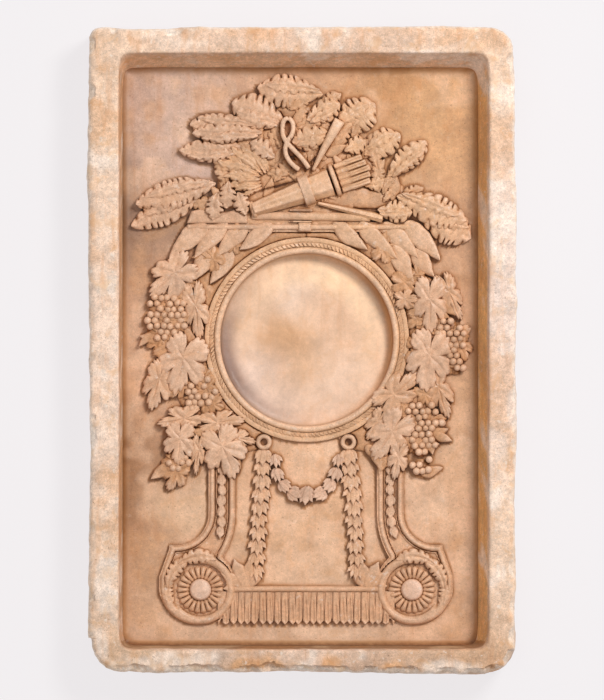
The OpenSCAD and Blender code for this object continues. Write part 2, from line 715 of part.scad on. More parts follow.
module plinth_tongues() {
    count = floor((eye_c[0] - 24) / tongue_pitch);
    w = tongue_pitch - 0.8;
    top = rail_y[0] - 0.5;
    color(plaster) difference() {
        for (i = [-count:count]) translate([axis_x + i * tongue_pitch, 0, floor_t])
            linear_extrude(course_t - 1)
                polygon([[-0.34 * w, top], [0.34 * w, top], [0.5 * w, plinth_foot + 12], [0, plinth_foot],
                    [-0.5 * w, plinth_foot + 12]]);
        for (turn = [0, 1]) translate([axis_x, 0, 0]) mirror([turn, 0, 0]) linear_extrude(clear_h) scroll_space();
    }
}

floor_slab();
rim_left();
rim_right();
rim_top();
rim_bottom();
dial_floor();
bezel();
bezel_leaf_tips();
crossbar();
crossbar_clip();
crossbar_end();
staff();
torch();
torch_flame();
quiver();
quiver_band();
arrows();
ribbon_band();
ribbon_knot();
ribbon_loop();
spray_stem();
oak_bed();
oak_leaves_back();
oak_leaves_front();
oak_sprig();
laurel_upper_left();
laurel_upper_right();
laurel_lower_left();
laurel_lower_right();
garland_bed_left();
garland_bed_right();
vine_back_left();
vine_back_right();
vine_front_left();
vine_front_right();
grapes(GRAPES_UPPER_LEFT, VINE_FRONT_LEFT);  // grapes_upper_left
grapes(GRAPES_LOWER_LEFT, VINE_FRONT_LEFT);  // grapes_lower_left
grapes(GRAPES_UPPER_RIGHT, VINE_FRONT_RIGHT);  // grapes_upper_right
grapes(GRAPES_LOWER_RIGHT, VINE_FRONT_RIGHT);  // grapes_lower_right
grapes(GRAPES_FOOT_LEFT, VINE_FRONT_LEFT);  // grapes_foot_left
grapes(GRAPES_FOOT_RIGHT, VINE_FRONT_RIGHT);  // grapes_foot_right
ring(-1);  // ring_left
ring(1);  // ring_right
drop(-1);  // drop_left
drop(1);  // drop_right
swag();
scroll("left");  // scroll_left
scroll("right");  // scroll_right
scroll_chain("left");  // scroll_chain_left
scroll_chain("right");  // scroll_chain_right
rosette("left");  // rosette_left
rosette("right");  // rosette_right
corner_leaf("left");  // corner_leaf_left
corner_leaf("right");  // corner_leaf_right
plinth_rail();
plinth_tongues();
laths_long();
laths_cross();
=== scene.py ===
import math

import bmesh
import bpy
import numpy as np
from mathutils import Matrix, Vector, geometry


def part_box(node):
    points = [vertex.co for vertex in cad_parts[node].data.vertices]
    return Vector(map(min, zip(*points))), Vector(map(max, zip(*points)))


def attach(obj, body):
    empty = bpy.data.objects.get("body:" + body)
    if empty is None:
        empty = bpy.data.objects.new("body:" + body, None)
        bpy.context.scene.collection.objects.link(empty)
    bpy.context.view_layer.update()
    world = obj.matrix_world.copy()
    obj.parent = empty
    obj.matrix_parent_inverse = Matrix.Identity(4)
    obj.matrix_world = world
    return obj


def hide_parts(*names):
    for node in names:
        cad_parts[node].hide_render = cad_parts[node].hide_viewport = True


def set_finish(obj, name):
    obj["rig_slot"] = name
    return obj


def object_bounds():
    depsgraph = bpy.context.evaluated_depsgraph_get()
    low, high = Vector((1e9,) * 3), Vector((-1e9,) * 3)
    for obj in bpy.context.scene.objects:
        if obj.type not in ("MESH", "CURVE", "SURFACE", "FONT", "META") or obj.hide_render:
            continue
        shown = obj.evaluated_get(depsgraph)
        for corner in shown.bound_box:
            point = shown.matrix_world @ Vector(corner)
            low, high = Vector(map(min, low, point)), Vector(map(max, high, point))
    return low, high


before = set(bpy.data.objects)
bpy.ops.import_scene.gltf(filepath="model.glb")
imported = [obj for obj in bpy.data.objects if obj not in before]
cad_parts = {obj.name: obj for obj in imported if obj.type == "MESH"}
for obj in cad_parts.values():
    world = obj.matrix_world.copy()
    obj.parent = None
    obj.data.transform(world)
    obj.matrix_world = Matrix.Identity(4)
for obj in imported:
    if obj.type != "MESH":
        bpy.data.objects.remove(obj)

cad_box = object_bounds()
rng = np.random.default_rng(11)
PI = math.pi

# Lengths are in millimetres until a mesh is made.
SKIRT = 29.0            # ornaments run down to here, just under the floor's surface
GRID = 1.5              # spacing of the points on carved surfaces


# ---- reading the CAD frame ----

def raw_points(obj):
    co = np.empty(len(obj.data.vertices) * 3, np.float32)
    obj.data.vertices.foreach_get("co", co)
    return co.reshape(-1, 3)


def cad_mesh(node):
    """Merged vertices, in millimetres, and triangles of a CAD node."""
    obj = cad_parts[node]
    obj.data.calc_loop_triangles()
    tri = np.empty(len(obj.data.loop_triangles) * 3, np.int32)
    obj.data.loop_triangles.foreach_get("vertices", tri)
    points, index = np.unique(np.round(raw_points(obj) * 1000.0, 2), axis=0, return_inverse=True)
    return points.astype(float), index.ravel()[tri.reshape(-1, 3)]


def cad_solids(node):
    """(vertices, triangles) of each separate solid in a node, in a fixed order."""
    points, tri = cad_mesh(node)
    label, new = None, np.arange(len(points))
    while label is None or (new != label).any():
        label = new
        new = label.copy()
        np.minimum.at(new, tri.ravel(), np.repeat(label[tri].min(1), 3))
        new = new[new]
    solids = []
    for one in np.unique(label[tri[:, 0]]):
        used, index = np.unique(tri[label[tri[:, 0]] == one], return_inverse=True)
        solids.append((points[used], index.reshape(-1, 3)))
    return sorted(solids, key=lambda solid: tuple(np.round(solid[0].mean(0), 1)))


def bottom_loops(points, tri):
    """Outline of a solid's flat bottom, as loops of xy points."""
    flat = tri[(points[tri][:, :, 2] < points[:, 2].min() + 0.02).all(1)]
    edges = dict.fromkeys((face[k], face[(k + 1) % 3]) for face in flat for k in range(3))
    rim = {a: b for a, b in edges if (b, a) not in edges}
    loops = []
    while rim:
        start = next(iter(rim))
        loop = [start]
        at = rim.pop(start)
        while at != start and at in rim:
            loop.append(at)
            at = rim.pop(at)
        loops.append(points[loop][:, :2])
    return [loop for loop in loops if len(loop) > 2]


def box_mm(node):
    return tuple(np.array(corner) * 1000 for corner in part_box(node))


# ---- noise and small helpers ----

def value_noise(x, y, cell, seed):
    """Smooth noise from -1 to 1 with features about one cell wide."""
    u, v = x / cell, y / cell
    i, j = np.floor(u).astype(np.int64), np.floor(v).astype(np.int64)
    fu, fv = u - i, v - j
    fu, fv = fu * fu * (3 - 2 * fu), fv * fv * (3 - 2 * fv)

    def corner(a, b):
        h = (a * 374761393 + b * 668265263 + seed * 974634777) & 0xFFFFFFFF
        h = ((h ^ (h >> 13)) * 1274126177) & 0xFFFFFFFF
        return ((h ^ (h >> 16)) & 0xFFFF) / 32767.5 - 1

    low = corner(i, j) * (1 - fu) + corner(i + 1, j) * fu
    high = corner(i, j + 1) * (1 - fu) + corner(i + 1, j + 1) * fu
    return low * (1 - fv) + high * fv


def rough(x, y, layers, seed):
    """Sum of noise layers, each (cell, amplitude)."""
    return sum(a * value_noise(x, y, cell, seed + 17 * k) for k, (cell, a) in enumerate(layers))


def smooth(t):
    t = np.clip(t, 0, 1)
    return t * t * (3 - 2 * t)


def bell(d, width):
    return np.exp(-(d / width) ** 2)


def rolled(t, power):
    """1 in the middle, falling to 0 in a round edge where t is 1."""
    return np.clip(1 - np.abs(t) ** power, 0, 1) ** 0.5


def turn(x, y, degrees):
    c, s = math.cos(math.radians(degrees)), math.sin(math.radians(degrees))
    return x * c - y * s, x * s + y * c


def unit(degrees):
    return np.array([math.cos(math.radians(degrees)), math.sin(math.radians(degrees))])


def normal_to(ahead):
    return np.array([-ahead[1], ahead[0]])


# ---- closed shells ----

def grid_faces(nu, nv, wrap_u=False, wrap_v=False):
    across, along = nu if wrap_u else nu - 1, nv if wrap_v else nv - 1
    i, j = np.meshgrid(np.arange(across), np.arange(along), indexing="ij")
    i2, j2 = (i + 1) % nu, (j + 1) % nv
    return np.stack([i * nv + j, i2 * nv + j, i2 * nv + j2, i * nv + j2], -1).reshape(-1, 4).tolist()


def pillow(x, y, z, base=SKIRT):
    """A height field on a grid of points, closed by sides and a flat bottom."""
    nu, nv = x.shape
    top = np.stack([x, y, z], -1).reshape(-1, 3)
    low = top.copy()
    low[:, 2] = base
    n = len(top)
    faces = grid_faces(nu, nv)
    faces += [[n + a for a in reversed(f)] for f in faces]
    ring = ([i * nv for i in range(nu)] + [(nu - 1) * nv + j for j in range(1, nv)]
            + [i * nv + nv - 1 for i in range(nu - 2, -1, -1)] + [j for j in range(nv - 2, 0, -1)])
    faces += [[b, a, n + a, n + b] for a, b in zip(ring, ring[1:] + ring[:1])]
    return np.concatenate([top, low]), faces


def torus(rings):
    """Rings of points, shape (around, section, 3), closed both ways."""
    return rings.reshape(-1, 3), grid_faces(rings.shape[0], rings.shape[1], True, True)


def capped(rings):
    """Rings of points, shape (along, around, 3), closed at both ends by a fan."""
    m, n = rings.shape[:2]
    points = np.concatenate([rings.reshape(-1, 3), [rings[0].mean(0)], [rings[-1].mean(0)]])
    faces = grid_faces(m, n, False, True)
    faces += [[m * n, (k + 1) % n, k] for k in range(n)]
    faces += [[m * n + 1, (m - 1) * n + k, (m - 1) * n + (k + 1) % n] for k in range(n)]
    return points, faces


def inside(loops, x, y):
    """Even-odd test of many points against outline loops."""
    hit = np.zeros(x.shape, bool)
    for loop in loops:
        for (a, b), (c, d) in zip(loop, np.roll(loop, -1, axis=0)):
            if b != d:
                hit ^= ((b > y) != (d > y)) & (x < a + (y - b) * (c - a) / (d - b))
    return hit


def edge_distance(loops, x, y):
    best = np.full(x.shape, 1e9)
    for loop in loops:
        for (a, b), (c, d) in zip(loop, np.roll(loop, -1, axis=0)):
            dx, dy = c - a, d - b
            span = dx * dx + dy * dy
            if span >= 1e-9:
                t = np.clip(((x - a) * dx + (y - b) * dy) / span, 0, 1)
                best = np.minimum(best, (x - a - t * dx) ** 2 + (y - b - t * dy) ** 2)
    return np.sqrt(best)


def resample(loop, step):
    """Points along a closed outline, spaced by about step, keeping its corners."""
    out = []
    for p, q in zip(loop, np.roll(loop, -1, axis=0)):
        count = max(1, int(round(np.linalg.norm(q - p) / step)))
        out += [p + (q - p) * k / count for k in range(count)]
    return np.array(out)


def carve(loops, height, step=GRID, round_off=2):
    """A solid on an outline whose top follows height(x, y, distance to the edge)."""
    loops = [resample(loop, step) for loop in loops]
    for _ in range(round_off):
        loops = [0.5 * p + 0.25 * (np.roll(p, 1, axis=0) + np.roll(p, -1, axis=0)) for p in loops]
    rim = np.concatenate(loops)
    (x0, y0), (x1, y1) = rim.min(0), rim.max(0)
    gx, gy = np.meshgrid(np.arange(x0, x1, step), np.arange(y0, y1, step * 0.87))
    gx = gx + (np.arange(gx.shape[0]) % 2 * step / 2)[:, None]
    grid = np.column_stack([gx.ravel(), gy.ravel()])
    grid = grid[inside(loops, *grid.T)]
    grid = grid[edge_distance(loops, *grid.T) > 0.55 * step]
    edges = []
    for loop in loops:
        at = len(edges)
        edges += [(at + k, at + (k + 1) % len(loop)) for k in range(len(loop))]
    points = [Vector(p) for p in np.concatenate([rim, grid]).tolist()]
    found = geometry.delaunay_2d_cdt(points, edges, [], 0, 1e-5)
    xy, tri = np.array([tuple(v) for v in found[0]]), np.array([list(f) for f in found[2]])
    used, index = np.unique(tri[inside(loops, *xy[tri].mean(1).T)], return_inverse=True)
    xy, tri = xy[used], index.reshape(-1, 3)
    z = height(*xy.T, edge_distance(loops, *xy.T))
    n = len(xy)
    shell = np.concatenate([np.column_stack([xy, z]), np.column_stack([xy, np.full(n, SKIRT)])])
    known = set(map(tuple, np.concatenate([tri[:, [0, 1]], tri[:, [1, 2]], tri[:, [2, 0]]]).tolist()))
    sides = sorted([b, a, n + a, n + b] for a, b in known if (b, a) not in known)
    return shell, tri.tolist() + (tri[:, ::-1] + n).tolist() + sides


# ---- making pieces ----

PIECES = []


def new_object(name, data):
    obj = bpy.data.objects.new(name, data)
    bpy.context.scene.collection.objects.link(obj)
    return obj


def add_piece(node, shells, slot="relief_plaster", nodes=None):
    """One object out of closed shells, standing for a CAD node or for several."""
    faces = []
    count = 0
    for points, shell_faces in shells:
        faces += [[a + count for a in face] for face in shell_faces]
        count += len(points)
    mesh = bpy.data.meshes.new(node.capitalize())
    mesh.from_pydata((np.concatenate([shell[0] for shell in shells]) / 1000.0).tolist(), [], faces)
    bm = bmesh.new()
    bm.from_mesh(mesh)
    bmesh.ops.recalc_face_normals(bm, faces=bm.faces)
    bm.to_mesh(mesh)
    bm.free()
    mesh.shade_smooth()
    mesh.set_sharp_from_angle(angle=math.radians(58))
    obj = new_object(mesh.name, mesh)
    mesh.materials.append(MATERIALS[slot])
    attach(obj, "root")
    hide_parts(*(nodes or [node]))
    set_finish(obj, slot)
    PIECES.append(obj)
    return obj


# ---- materials ----

def srgb(r, g, b):
    """Linear colour from 8-bit display values."""
    parts = [c / 255.0 for c in (r, g, b)]
    return tuple(c / 12.92 if c <= 0.04045 else ((c + 0.055) / 1.055) ** 2.4 for c in parts) + (1.0,)


class Nodes:
    """Short calls for building a node tree."""

    def __init__(self, name):
        self.material = bpy.data.materials.new(name)
        self.material.use_nodes = True
        self.tree = self.material.node_tree
        self.tree.nodes.clear()
        out = self.add("ShaderNodeOutputMaterial")
        self.shader = self.add("ShaderNodeBsdfPrincipled")
        self.link(self.shader.outputs[0], out.inputs[0])
        self.place = self.add("ShaderNodeTexCoord").outputs["Object"]

    def add(self, kind, inputs=None, **values):
        node = self.tree.nodes.new(kind)
        for key, value in values.items():
            setattr(node, key, value)
        for key, value in (inputs or {}).items():
            self.put(node.inputs[key], value)
        return node

    def link(self, a, b):
        self.tree.links.new(a, b)

    def put(self, socket, value):
        if isinstance(value, (int, float, tuple)):
            socket.default_value = value
        else:
            self.link(value, socket)

    def noise(self, scale, detail=3.0, roughness=0.55, stretch=None, distortion=0.0):
        node = self.add("ShaderNodeTexNoise", {"Scale": scale, "Detail": detail, "Roughness": roughness,
                                               "Distortion": distortion})
        place = self.place
        if stretch:
            place = self.add("ShaderNodeMapping", {"Scale": stretch, "Vector": place}).outputs[0]
        self.link(place, node.inputs["Vector"])
        return node.outputs["Fac"]

    def ramp(self, value, low, high, out_low=0.0, out_high=1.0):
        inputs = {"Value": value, "From Min": low, "From Max": high, "To Min": out_low, "To Max": out_high}
        return self.add("ShaderNodeMapRange", inputs, interpolation_type="SMOOTHSTEP").outputs["Result"]

    def times(self, a, b, op="MULTIPLY"):
        return self.add("ShaderNodeMath", {0: a, 1: b}, operation=op).outputs[0]

    def mix(self, factor, a, b, mode="MIX"):
        inputs = {0: factor, 6: a, 7: b}
        return self.add("ShaderNodeMix", inputs, data_type="RGBA", blend_type=mode).outputs[2]

    def finish(self, colour, roughness, height, strength, distance):
        bump = self.add("ShaderNodeBump", {"Strength": strength, "Distance": distance, "Height": height})
        for key, value in (("Base Color", colour), ("Roughness", roughness), ("Normal", bump.outputs[0])):
            self.put(self.shader.inputs[key], value)
        return self.material


def plaster(name, streak, chalk, speck, grain, rough_at, blotch):
    """Old shellacked plaster: the tone attribute and the dirt attribute, which carries painted shade as well
    as dirt, stained, chalked and pitted by noise, with painted shade in the sharpest corners.
    """
    n = Nodes(name)
    tone = n.add("ShaderNodeAttribute", attribute_name="tone").outputs["Color"]
    dirt = n.add("ShaderNodeAttribute", attribute_name="dirt").outputs["Fac"]

    def darkened(*rgb):
        return n.mix(1.0, tone, rgb + (1,), "MULTIPLY")

    cloud = n.noise(26, 4, 0.6)
    mottle = n.noise(120, 4, 0.62)
    fine = n.noise(650, 3, 0.6)
    medium = n.noise(260, 3, 0.6)
    colour = tone
    for value, edge, dark, pale in ((cloud, 0.3, 0.12, 0.09), (mottle, 0.28, 0.12 * blotch, 0.11 * blotch),
                                    (fine, 0.25, 0.14 * blotch, 0.12 * blotch),
                                    (medium, 0.3, 0.07 * blotch, 0.06 * blotch)):
        colour = n.mix(1.0, colour, n.ramp(value, edge, 1 - edge, 1 - dark, 1 + pale), "MULTIPLY")
    streaks = n.noise(34, 5, 0.68, None, 0.6)
    colour = n.mix(n.times(n.ramp(streaks, 0.5, 0.68), streak), colour, darkened(0.93, 0.79, 0.60))
    white = n.times(n.ramp(n.noise(90, 5, 0.7), 0.6, 0.68), chalk)
    colour = n.mix(white, colour, (0.80, 0.71, 0.63, 1))
    specks = n.times(n.ramp(n.noise(420, 2, 0.5), 0.665, 0.72), speck)
    colour = n.mix(specks, colour, darkened(0.42, 0.33, 0.27))
    brushed = n.noise(60, 4, 0.65, (1.0, 0.16, 1.0), 0.4)
    colour = n.mix(n.times(n.ramp(brushed, 0.5, 0.7), streak * 0.7), colour, darkened(0.86, 0.64, 0.44))
    # Dirt and painted shade from the vertex attribute darken the colour
    grime_and_shade = n.times(dirt, n.ramp(mottle, 0.2, 0.7, 0.75, 1.15))
    colour = n.mix(n.ramp(grime_and_shade, 0.0, 0.4), colour, darkened(0.66, 0.52, 0.36))
    colour = n.mix(n.ramp(grime_and_shade, 0.25, 1.0, 0.0, 0.92), colour, darkened(0.30, 0.20, 0.13))
    # Painted shade, with some dirt, packed into the sharpest corners by ambient occlusion
    corners = n.add("ShaderNodeAmbientOcclusion", {"Distance": 0.005}, samples=6)
    occlusion_shade = n.times(corners.outputs["AO"], n.ramp(mottle, 0.2, 0.8, 1.1, 0.85))
    colour = n.mix(n.ramp(occlusion_shade, 0.62, 0.22, 0.0, 0.85), colour, darkened(0.27, 0.16, 0.09))
    n.shader.inputs["Specular IOR Level"].default_value = 0.35
    relief = n.times(n.times(fine, 0.35), n.times(mottle, 0.6), "ADD")
    relief = n.times(relief, n.times(specks, 0.5), "SUBTRACT")
    roughness = n.ramp(mottle, 0.25, 0.75, rough_at - 0.08, rough_at + 0.16)
    return n.finish(colour, roughness, relief, 0.5 * grain, 0.0012)


def wood(name, stretch):
    """Rough-sawn softwood, dry and plaster-stained, its grain drawn out by the stretch."""
    n = Nodes(name)
    rings = n.noise(320, 5, 0.6, stretch, 0.8)
    saw = n.noise(700, 3, 0.6)
    colour = n.mix(n.ramp(rings, 0.35, 0.65), srgb(142, 106, 70), srgb(190, 154, 112))
    colour = n.mix(1.0, colour, n.ramp(saw, 0.3, 0.7, 0.82, 1.08), "MULTIPLY")
    splashes = n.times(n.ramp(n.noise(30, 5, 0.7), 0.55, 0.75), 0.45)
    colour = n.mix(splashes, colour, srgb(214, 190, 164))
    return n.finish(colour, n.ramp(saw, 0.3, 0.7, 0.7, 0.9), n.times(rings, saw, "ADD"), 0.5, 0.001)


# Share of streaks, chalk and specks, strength of the grain, roughness, strength of the blotches
PLASTERS = {
    "rim_plaster": (0.7, 0.6, 0.7, 1.2, 0.55, 1.3),
    "floor_plaster": (0.4, 0.12, 0.6, 1.0, 0.42, 0.7),
    "dial_plaster": (0.3, 0.1, 0.12, 0.6, 0.42, 0.4),
    "relief_plaster": (0.3, 0.35, 0.5, 1.0, 0.36, 1.0),
    "bed_plaster": (0.25, 0.1, 0.5, 1.0, 0.42, 1.1),
}
MATERIALS = {slot: plaster(slot, *look) for slot, look in PLASTERS.items()}
MATERIALS["laths_long"] = wood("lath_wood_long", (1.0, 0.07, 1.0))
MATERIALS["laths_cross"] = wood("lath_wood_cross", (0.07, 1.0, 1.0))


# ---- tray ----

floor_low, floor_high = box_mm("floor_slab")
FLOOR_Z = floor_high[2]
TOP_Z = box_mm("rim_top")[1][2]
COVE_TOP = 8.5          # how far up the walls the floor's cove climbs
RIMS = ("rim_left", "rim_right", "rim_top", "rim_bottom")


def circle_of(node):
    """Centre and outer radius of a round CAD node."""
    low, high = box_mm(node)
    return (low[:2] + high[:2]) / 2, (high[0] - low[0]) / 2


DIAL, DIAL_R = circle_of("dial_floor")
BEZEL_R = circle_of("bezel")[1]


def mouth_at(node, axis, pick):
    """Where a bar's inner face meets the top of the rim."""
    points = cad_mesh(node)[0]
    return pick(points[points[:, 2] > TOP_Z - 0.1][:, axis])


def wall_distance(x, y):
    return np.minimum(np.minimum(x - floor_low[0], floor_high[0] - x),
                      np.minimum(y - floor_low[1], floor_high[1] - y))


def hull(points):
    """Convex outline, anticlockwise."""
    pts = sorted(set(map(tuple, np.round(points, 2))))

    def half(seq):
        out = []
        for p in seq:
            while len(out) > 1 and ((out[-1][0] - out[-2][0]) * (p[1] - out[-2][1])
                                    - (out[-1][1] - out[-2][1]) * (p[0] - out[-2][0])) <= 0:
                out.pop()
            out.append(p)
        return out[:-1]
    return np.array(half(pts) + half(pts[::-1]))


def by_length(loop, count):
    """count points spaced evenly along a closed outline."""
    closed = np.vstack([loop, loop[:1]])
    steps = np.r_[0, np.cumsum(np.linalg.norm(np.diff(closed, axis=0), axis=1))]
    at = np.linspace(0, steps[-1], count, endpoint=False)
    return np.stack([np.interp(at, steps, closed[:, k]) for k in (0, 1)], -1), at


def rounded_box(low, high, ux, uy):
    """Points of a rectangle with eased corners, in the directions (ux, uy) of its unit square."""
    power = 46
    reach = (np.abs(ux) ** power + np.abs(uy) ** power) ** (-1.0 / power)
    mid, half = (low + high) / 2, (high - low) / 2
    return np.stack([mid[0] + half[0] * ux * reach, mid[1] + half[1] * uy * reach], -1)


def at_height(xy, z):
    """Points with a height, which may be one number."""
    return np.column_stack([xy, np.full(len(xy), z)])


def on_circle(centre, r, angle):
    return np.stack([centre[0] + r * np.cos(angle), centre[1] + r * np.sin(angle)], -1)


def make_rim():
    plan = np.concatenate([cad_mesh(n)[0] for n in RIMS])[:, :2]
    outer, s = by_length(hull(plan), 1900)
    ux, uy = ((outer - outer.mean(0)) / (np.ptp(plan, axis=0) / 2)).T
    low = rounded_box(floor_low[:2], floor_high[:2], ux, uy)
    mouth = rounded_box(np.array([mouth_at("rim_left", 0, max), mouth_at("rim_bottom", 1, max)]),
                        np.array([mouth_at("rim_right", 0, min), mouth_at("rim_top", 1, min)]), ux, uy)
    ahead = np.roll(outer, -1, axis=0) - np.roll(outer, 1, axis=0)
    ahead /= np.linalg.norm(ahead, axis=1)[:, None]
    outward = np.stack([ahead[:, 1], -ahead[:, 0]], -1)
    zero = np.zeros_like(s)
    wave = 2.4 + rough(s, zero, [(140, 2.2), (45, 1.3), (15, 0.6), (6, 0.3)], 5)

    def bites(count, *ranges):
        """Chips knocked out of the outer arris: place, half length, depth in plan, depth down."""
        return [[rng.uniform(*pair) for pair in ranges] for _ in range(count)]

    foot = s[np.abs(outer[:, 1] - outer[:, 1].min()) < 2]
    corner = s[np.argmax(outer[:, 0] - outer[:, 1])]
    chips = bites(46, (0, s[-1]), (5, 16), (1.0, 4.5), (6, 20))
    chips += bites(16, (foot.min(), foot.max()), (6, 20), (3, 7.5), (8, 30))
    chips += [(corner + d, 14, 5.5, 26) for d in (-52, -22, 12, 44)]

    def row(inset, z, bite=1.0):
        """A line round the outside: inset from the outer outline at height z."""
        cut = wave + inset
        drop = zero
        jag = 1 + 0.35 * value_noise(s, zero + z, 4.0, 3)
        for at, wide, deep, down in chips:
            d = np.abs(s - at)
            d = np.minimum(d, s[-1] - d)
            cut = cut + deep * smooth(1.25 - d / wide) * smooth(1 - (TOP_Z - z) / down) * jag * bite
            drop = np.maximum(drop, 0.55 * deep * smooth(1.2 - d / wide) * bite)
        cut = cut + 0.35 * value_noise(s, zero + z * 1.7, 7, 9)
        return at_height(outer - outward * cut[:, None], z - drop * (z > TOP_Z - 12))

    def across(t):
        """A line round the top: t runs from the mouth to near the outer edge."""
        p = (mouth + outward * 3.5) * (1 - t) + row(9, TOP_Z, 0.35)[:, :2] * t
        return at_height(p, TOP_Z + rough(*p.T, [(70, 0.9), (22, 0.5), (6, 0.22)], 21) - 0.4)

    rows = []
    # Upright where the floor's cove meets it, then sloping out to the mouth
    upright, lip = FLOOR_Z + COVE_TOP, TOP_Z - 4.5
    for z in np.r_[FLOOR_Z - 3, FLOOR_Z + 5, np.linspace(upright, lip, 11)]:
        f = max(0.0, (z - upright) / (lip - upright))
        uneven = 0.5 * rough(s, zero + z, [(60, 1.0), (15, 0.6)], 31) * min(1, f * 4)
        rows.append(at_height(low * (1 - f) + mouth * f + outward * uneven[:, None], z))
    rows += [at_height(mouth + outward * (3.5 * f ** 1.6), lip + 4.0 * math.sin(f * PI / 2))
             for f in (0.3, 0.65)]
    rows += [across(t) for t in np.linspace(0, 1, 14)]
    rows += [row(inset, TOP_Z - down) for inset, down in ((6.0, 0.9), (3.6, 2.2), (1.7, 4.4), (0.6, 7.5))]
    rows += [row(0.3 * rough(s, zero + z, [(25, 1.0)], 40), z) for z in np.linspace(TOP_Z - 12, 5, 12)]
    rows += [row(2.0, 1.5), row(5.0, 0.0), at_height(low + outward, 0.0)]
    add_piece("rim", [torus(np.stack(rows, 1))], "rim_plaster", RIMS)


def floor_height(x, y):
    """The tray's floor: gently uneven, with a cove at the walls."""
    cove = 11.0
    over = np.clip(cove - wall_distance(x, y), 0, cove * 0.985)
    rise = cove - np.sqrt(np.maximum(cove ** 2 - over ** 2, 0))
    return FLOOR_Z + rise + rough(x, y, [(90, 0.7), (30, 0.35), (9, 0.16)], 60)


def make_floor():
    mid, half = (floor_low[:2] + floor_high[:2]) / 2, (floor_high[:2] - floor_low[:2]) / 2
    wall, _ = by_length(np.array([[-1, -1], [1, -1], [1, 1], [-1, 1]]) * half + mid, 1000)
    wall = wall - (wall - mid) * 0.0008
    hole = on_circle(DIAL, DIAL_R + 0.2, np.unwrap(np.arctan2(wall[:, 1] - DIAL[1], wall[:, 0] - DIAL[0])))
    edge = 15.0
    span = np.linalg.norm(wall - hole, axis=1)
    steps = np.concatenate([np.linspace(0, 1, 70)[:, None] * (span - edge),
                            (span - edge) + np.linspace(0, edge, 13)[1:, None]])
    reach = (steps / span)[..., None]
    top = hole * (1 - reach) + wall * reach
    rows = [at_height(p, floor_height(*p.T)) for p in top]
    rows += [at_height(wall, 15.0), at_height(wall, 0.0), at_height((wall + hole) / 2, 0.0)]
    rows += [at_height(hole, 0.0), at_height(hole, 14.0)]
    slab = add_piece("floor_slab", [torus(np.stack(rows, 1))], "floor_plaster")
    # Housings in the back for the laths
    for points, _ in cad_solids("laths_long") + cad_solids("laths_cross"):
        low, high = points.min(0) - 1.0, points.max(0) + 1.0
        low[2] = -5.0
        corners = [(x, y, z) for x in (low[0], high[0]) for y in (low[1], high[1]) for z in (low[2], high[2])]
        cutter = bpy.data.meshes.new("housing")
        cutter.from_pydata((np.array(corners) / 1000).tolist(), [], [
            (0, 1, 3, 2), (4, 6, 7, 5), (0, 4, 5, 1), (2, 3, 7, 6), (0, 2, 6, 4), (1, 5, 7, 3)])
        cut = slab.modifiers.new("housing", "BOOLEAN")
        cut.operation = "DIFFERENCE"
        cut.solver = "EXACT"
        cut.object = new_object("housing", cutter)
        graph = bpy.context.evaluated_depsgraph_get()
        mesh = bpy.data.meshes.new_from_object(slab.evaluated_get(graph))
        bpy.data.objects.remove(cut.object)
        slab.modifiers.clear()
        old, slab.data = slab.data, mesh
        bpy.data.meshes.remove(old)


def make_dial():
    angle = np.linspace(0, 2 * PI, 300, endpoint=False)
    top = box_mm("dial_floor")[1][2]
    heights = cad_mesh("dial_floor")[0][:, 2]
    level = heights[heights > 1].min()
    cove = 24.0
    flat = DIAL_R - cove
    rings = []
    for r in np.r_[np.linspace(2, flat, 46), flat + cove * np.sin(np.linspace(0.08, PI / 2, 24))]:
        xy = on_circle(DIAL, r, angle)
        c = np.clip((r - flat) / cove, 0, 1)
        z = level + (top + 4 - level) * (1 - math.sqrt(max(0, 1 - c ** 5)))
        z = z + 0.5 * math.cos(r / DIAL_R * PI / 2) + rough(*xy.T, [(60, 0.35), (18, 0.16)], 70)
        rings.append(at_height(xy, z))
    for r, z in ((DIAL_R, 10.0), (DIAL_R, 0.0), (DIAL_R * 0.5, 0.0), (2.0, 0.0)):
        rings.append(at_height(on_circle(DIAL, r, angle), z))
    add_piece("dial_floor", [capped(np.stack(rings))], "dial_plaster")


def lathe(centre, profile, around, uneven):
    """A ring turned from a closed profile of (radius, height)."""
    r, z = np.array(profile, float).T
    xy = on_circle(centre, r, np.linspace(0, 2 * PI, around, endpoint=False)[:, None])
    lumps = uneven * rough(xy[..., 0], xy[..., 1], [(25, 0.6), (7, 0.5), (3, 0.3)], 80)
    z = z + lumps * (z > FLOOR_Z + 1)
    return torus(np.concatenate([xy, z[..., None]], -1))


def bead(start, stop, foot, tall, count):
    """Profile of a half-round moulding from one radius to another."""
    return [(start + (stop - start) / 2 * (1 - math.cos(f)), foot + tall * math.sin(f))
            for f in np.linspace(0, PI, count)]


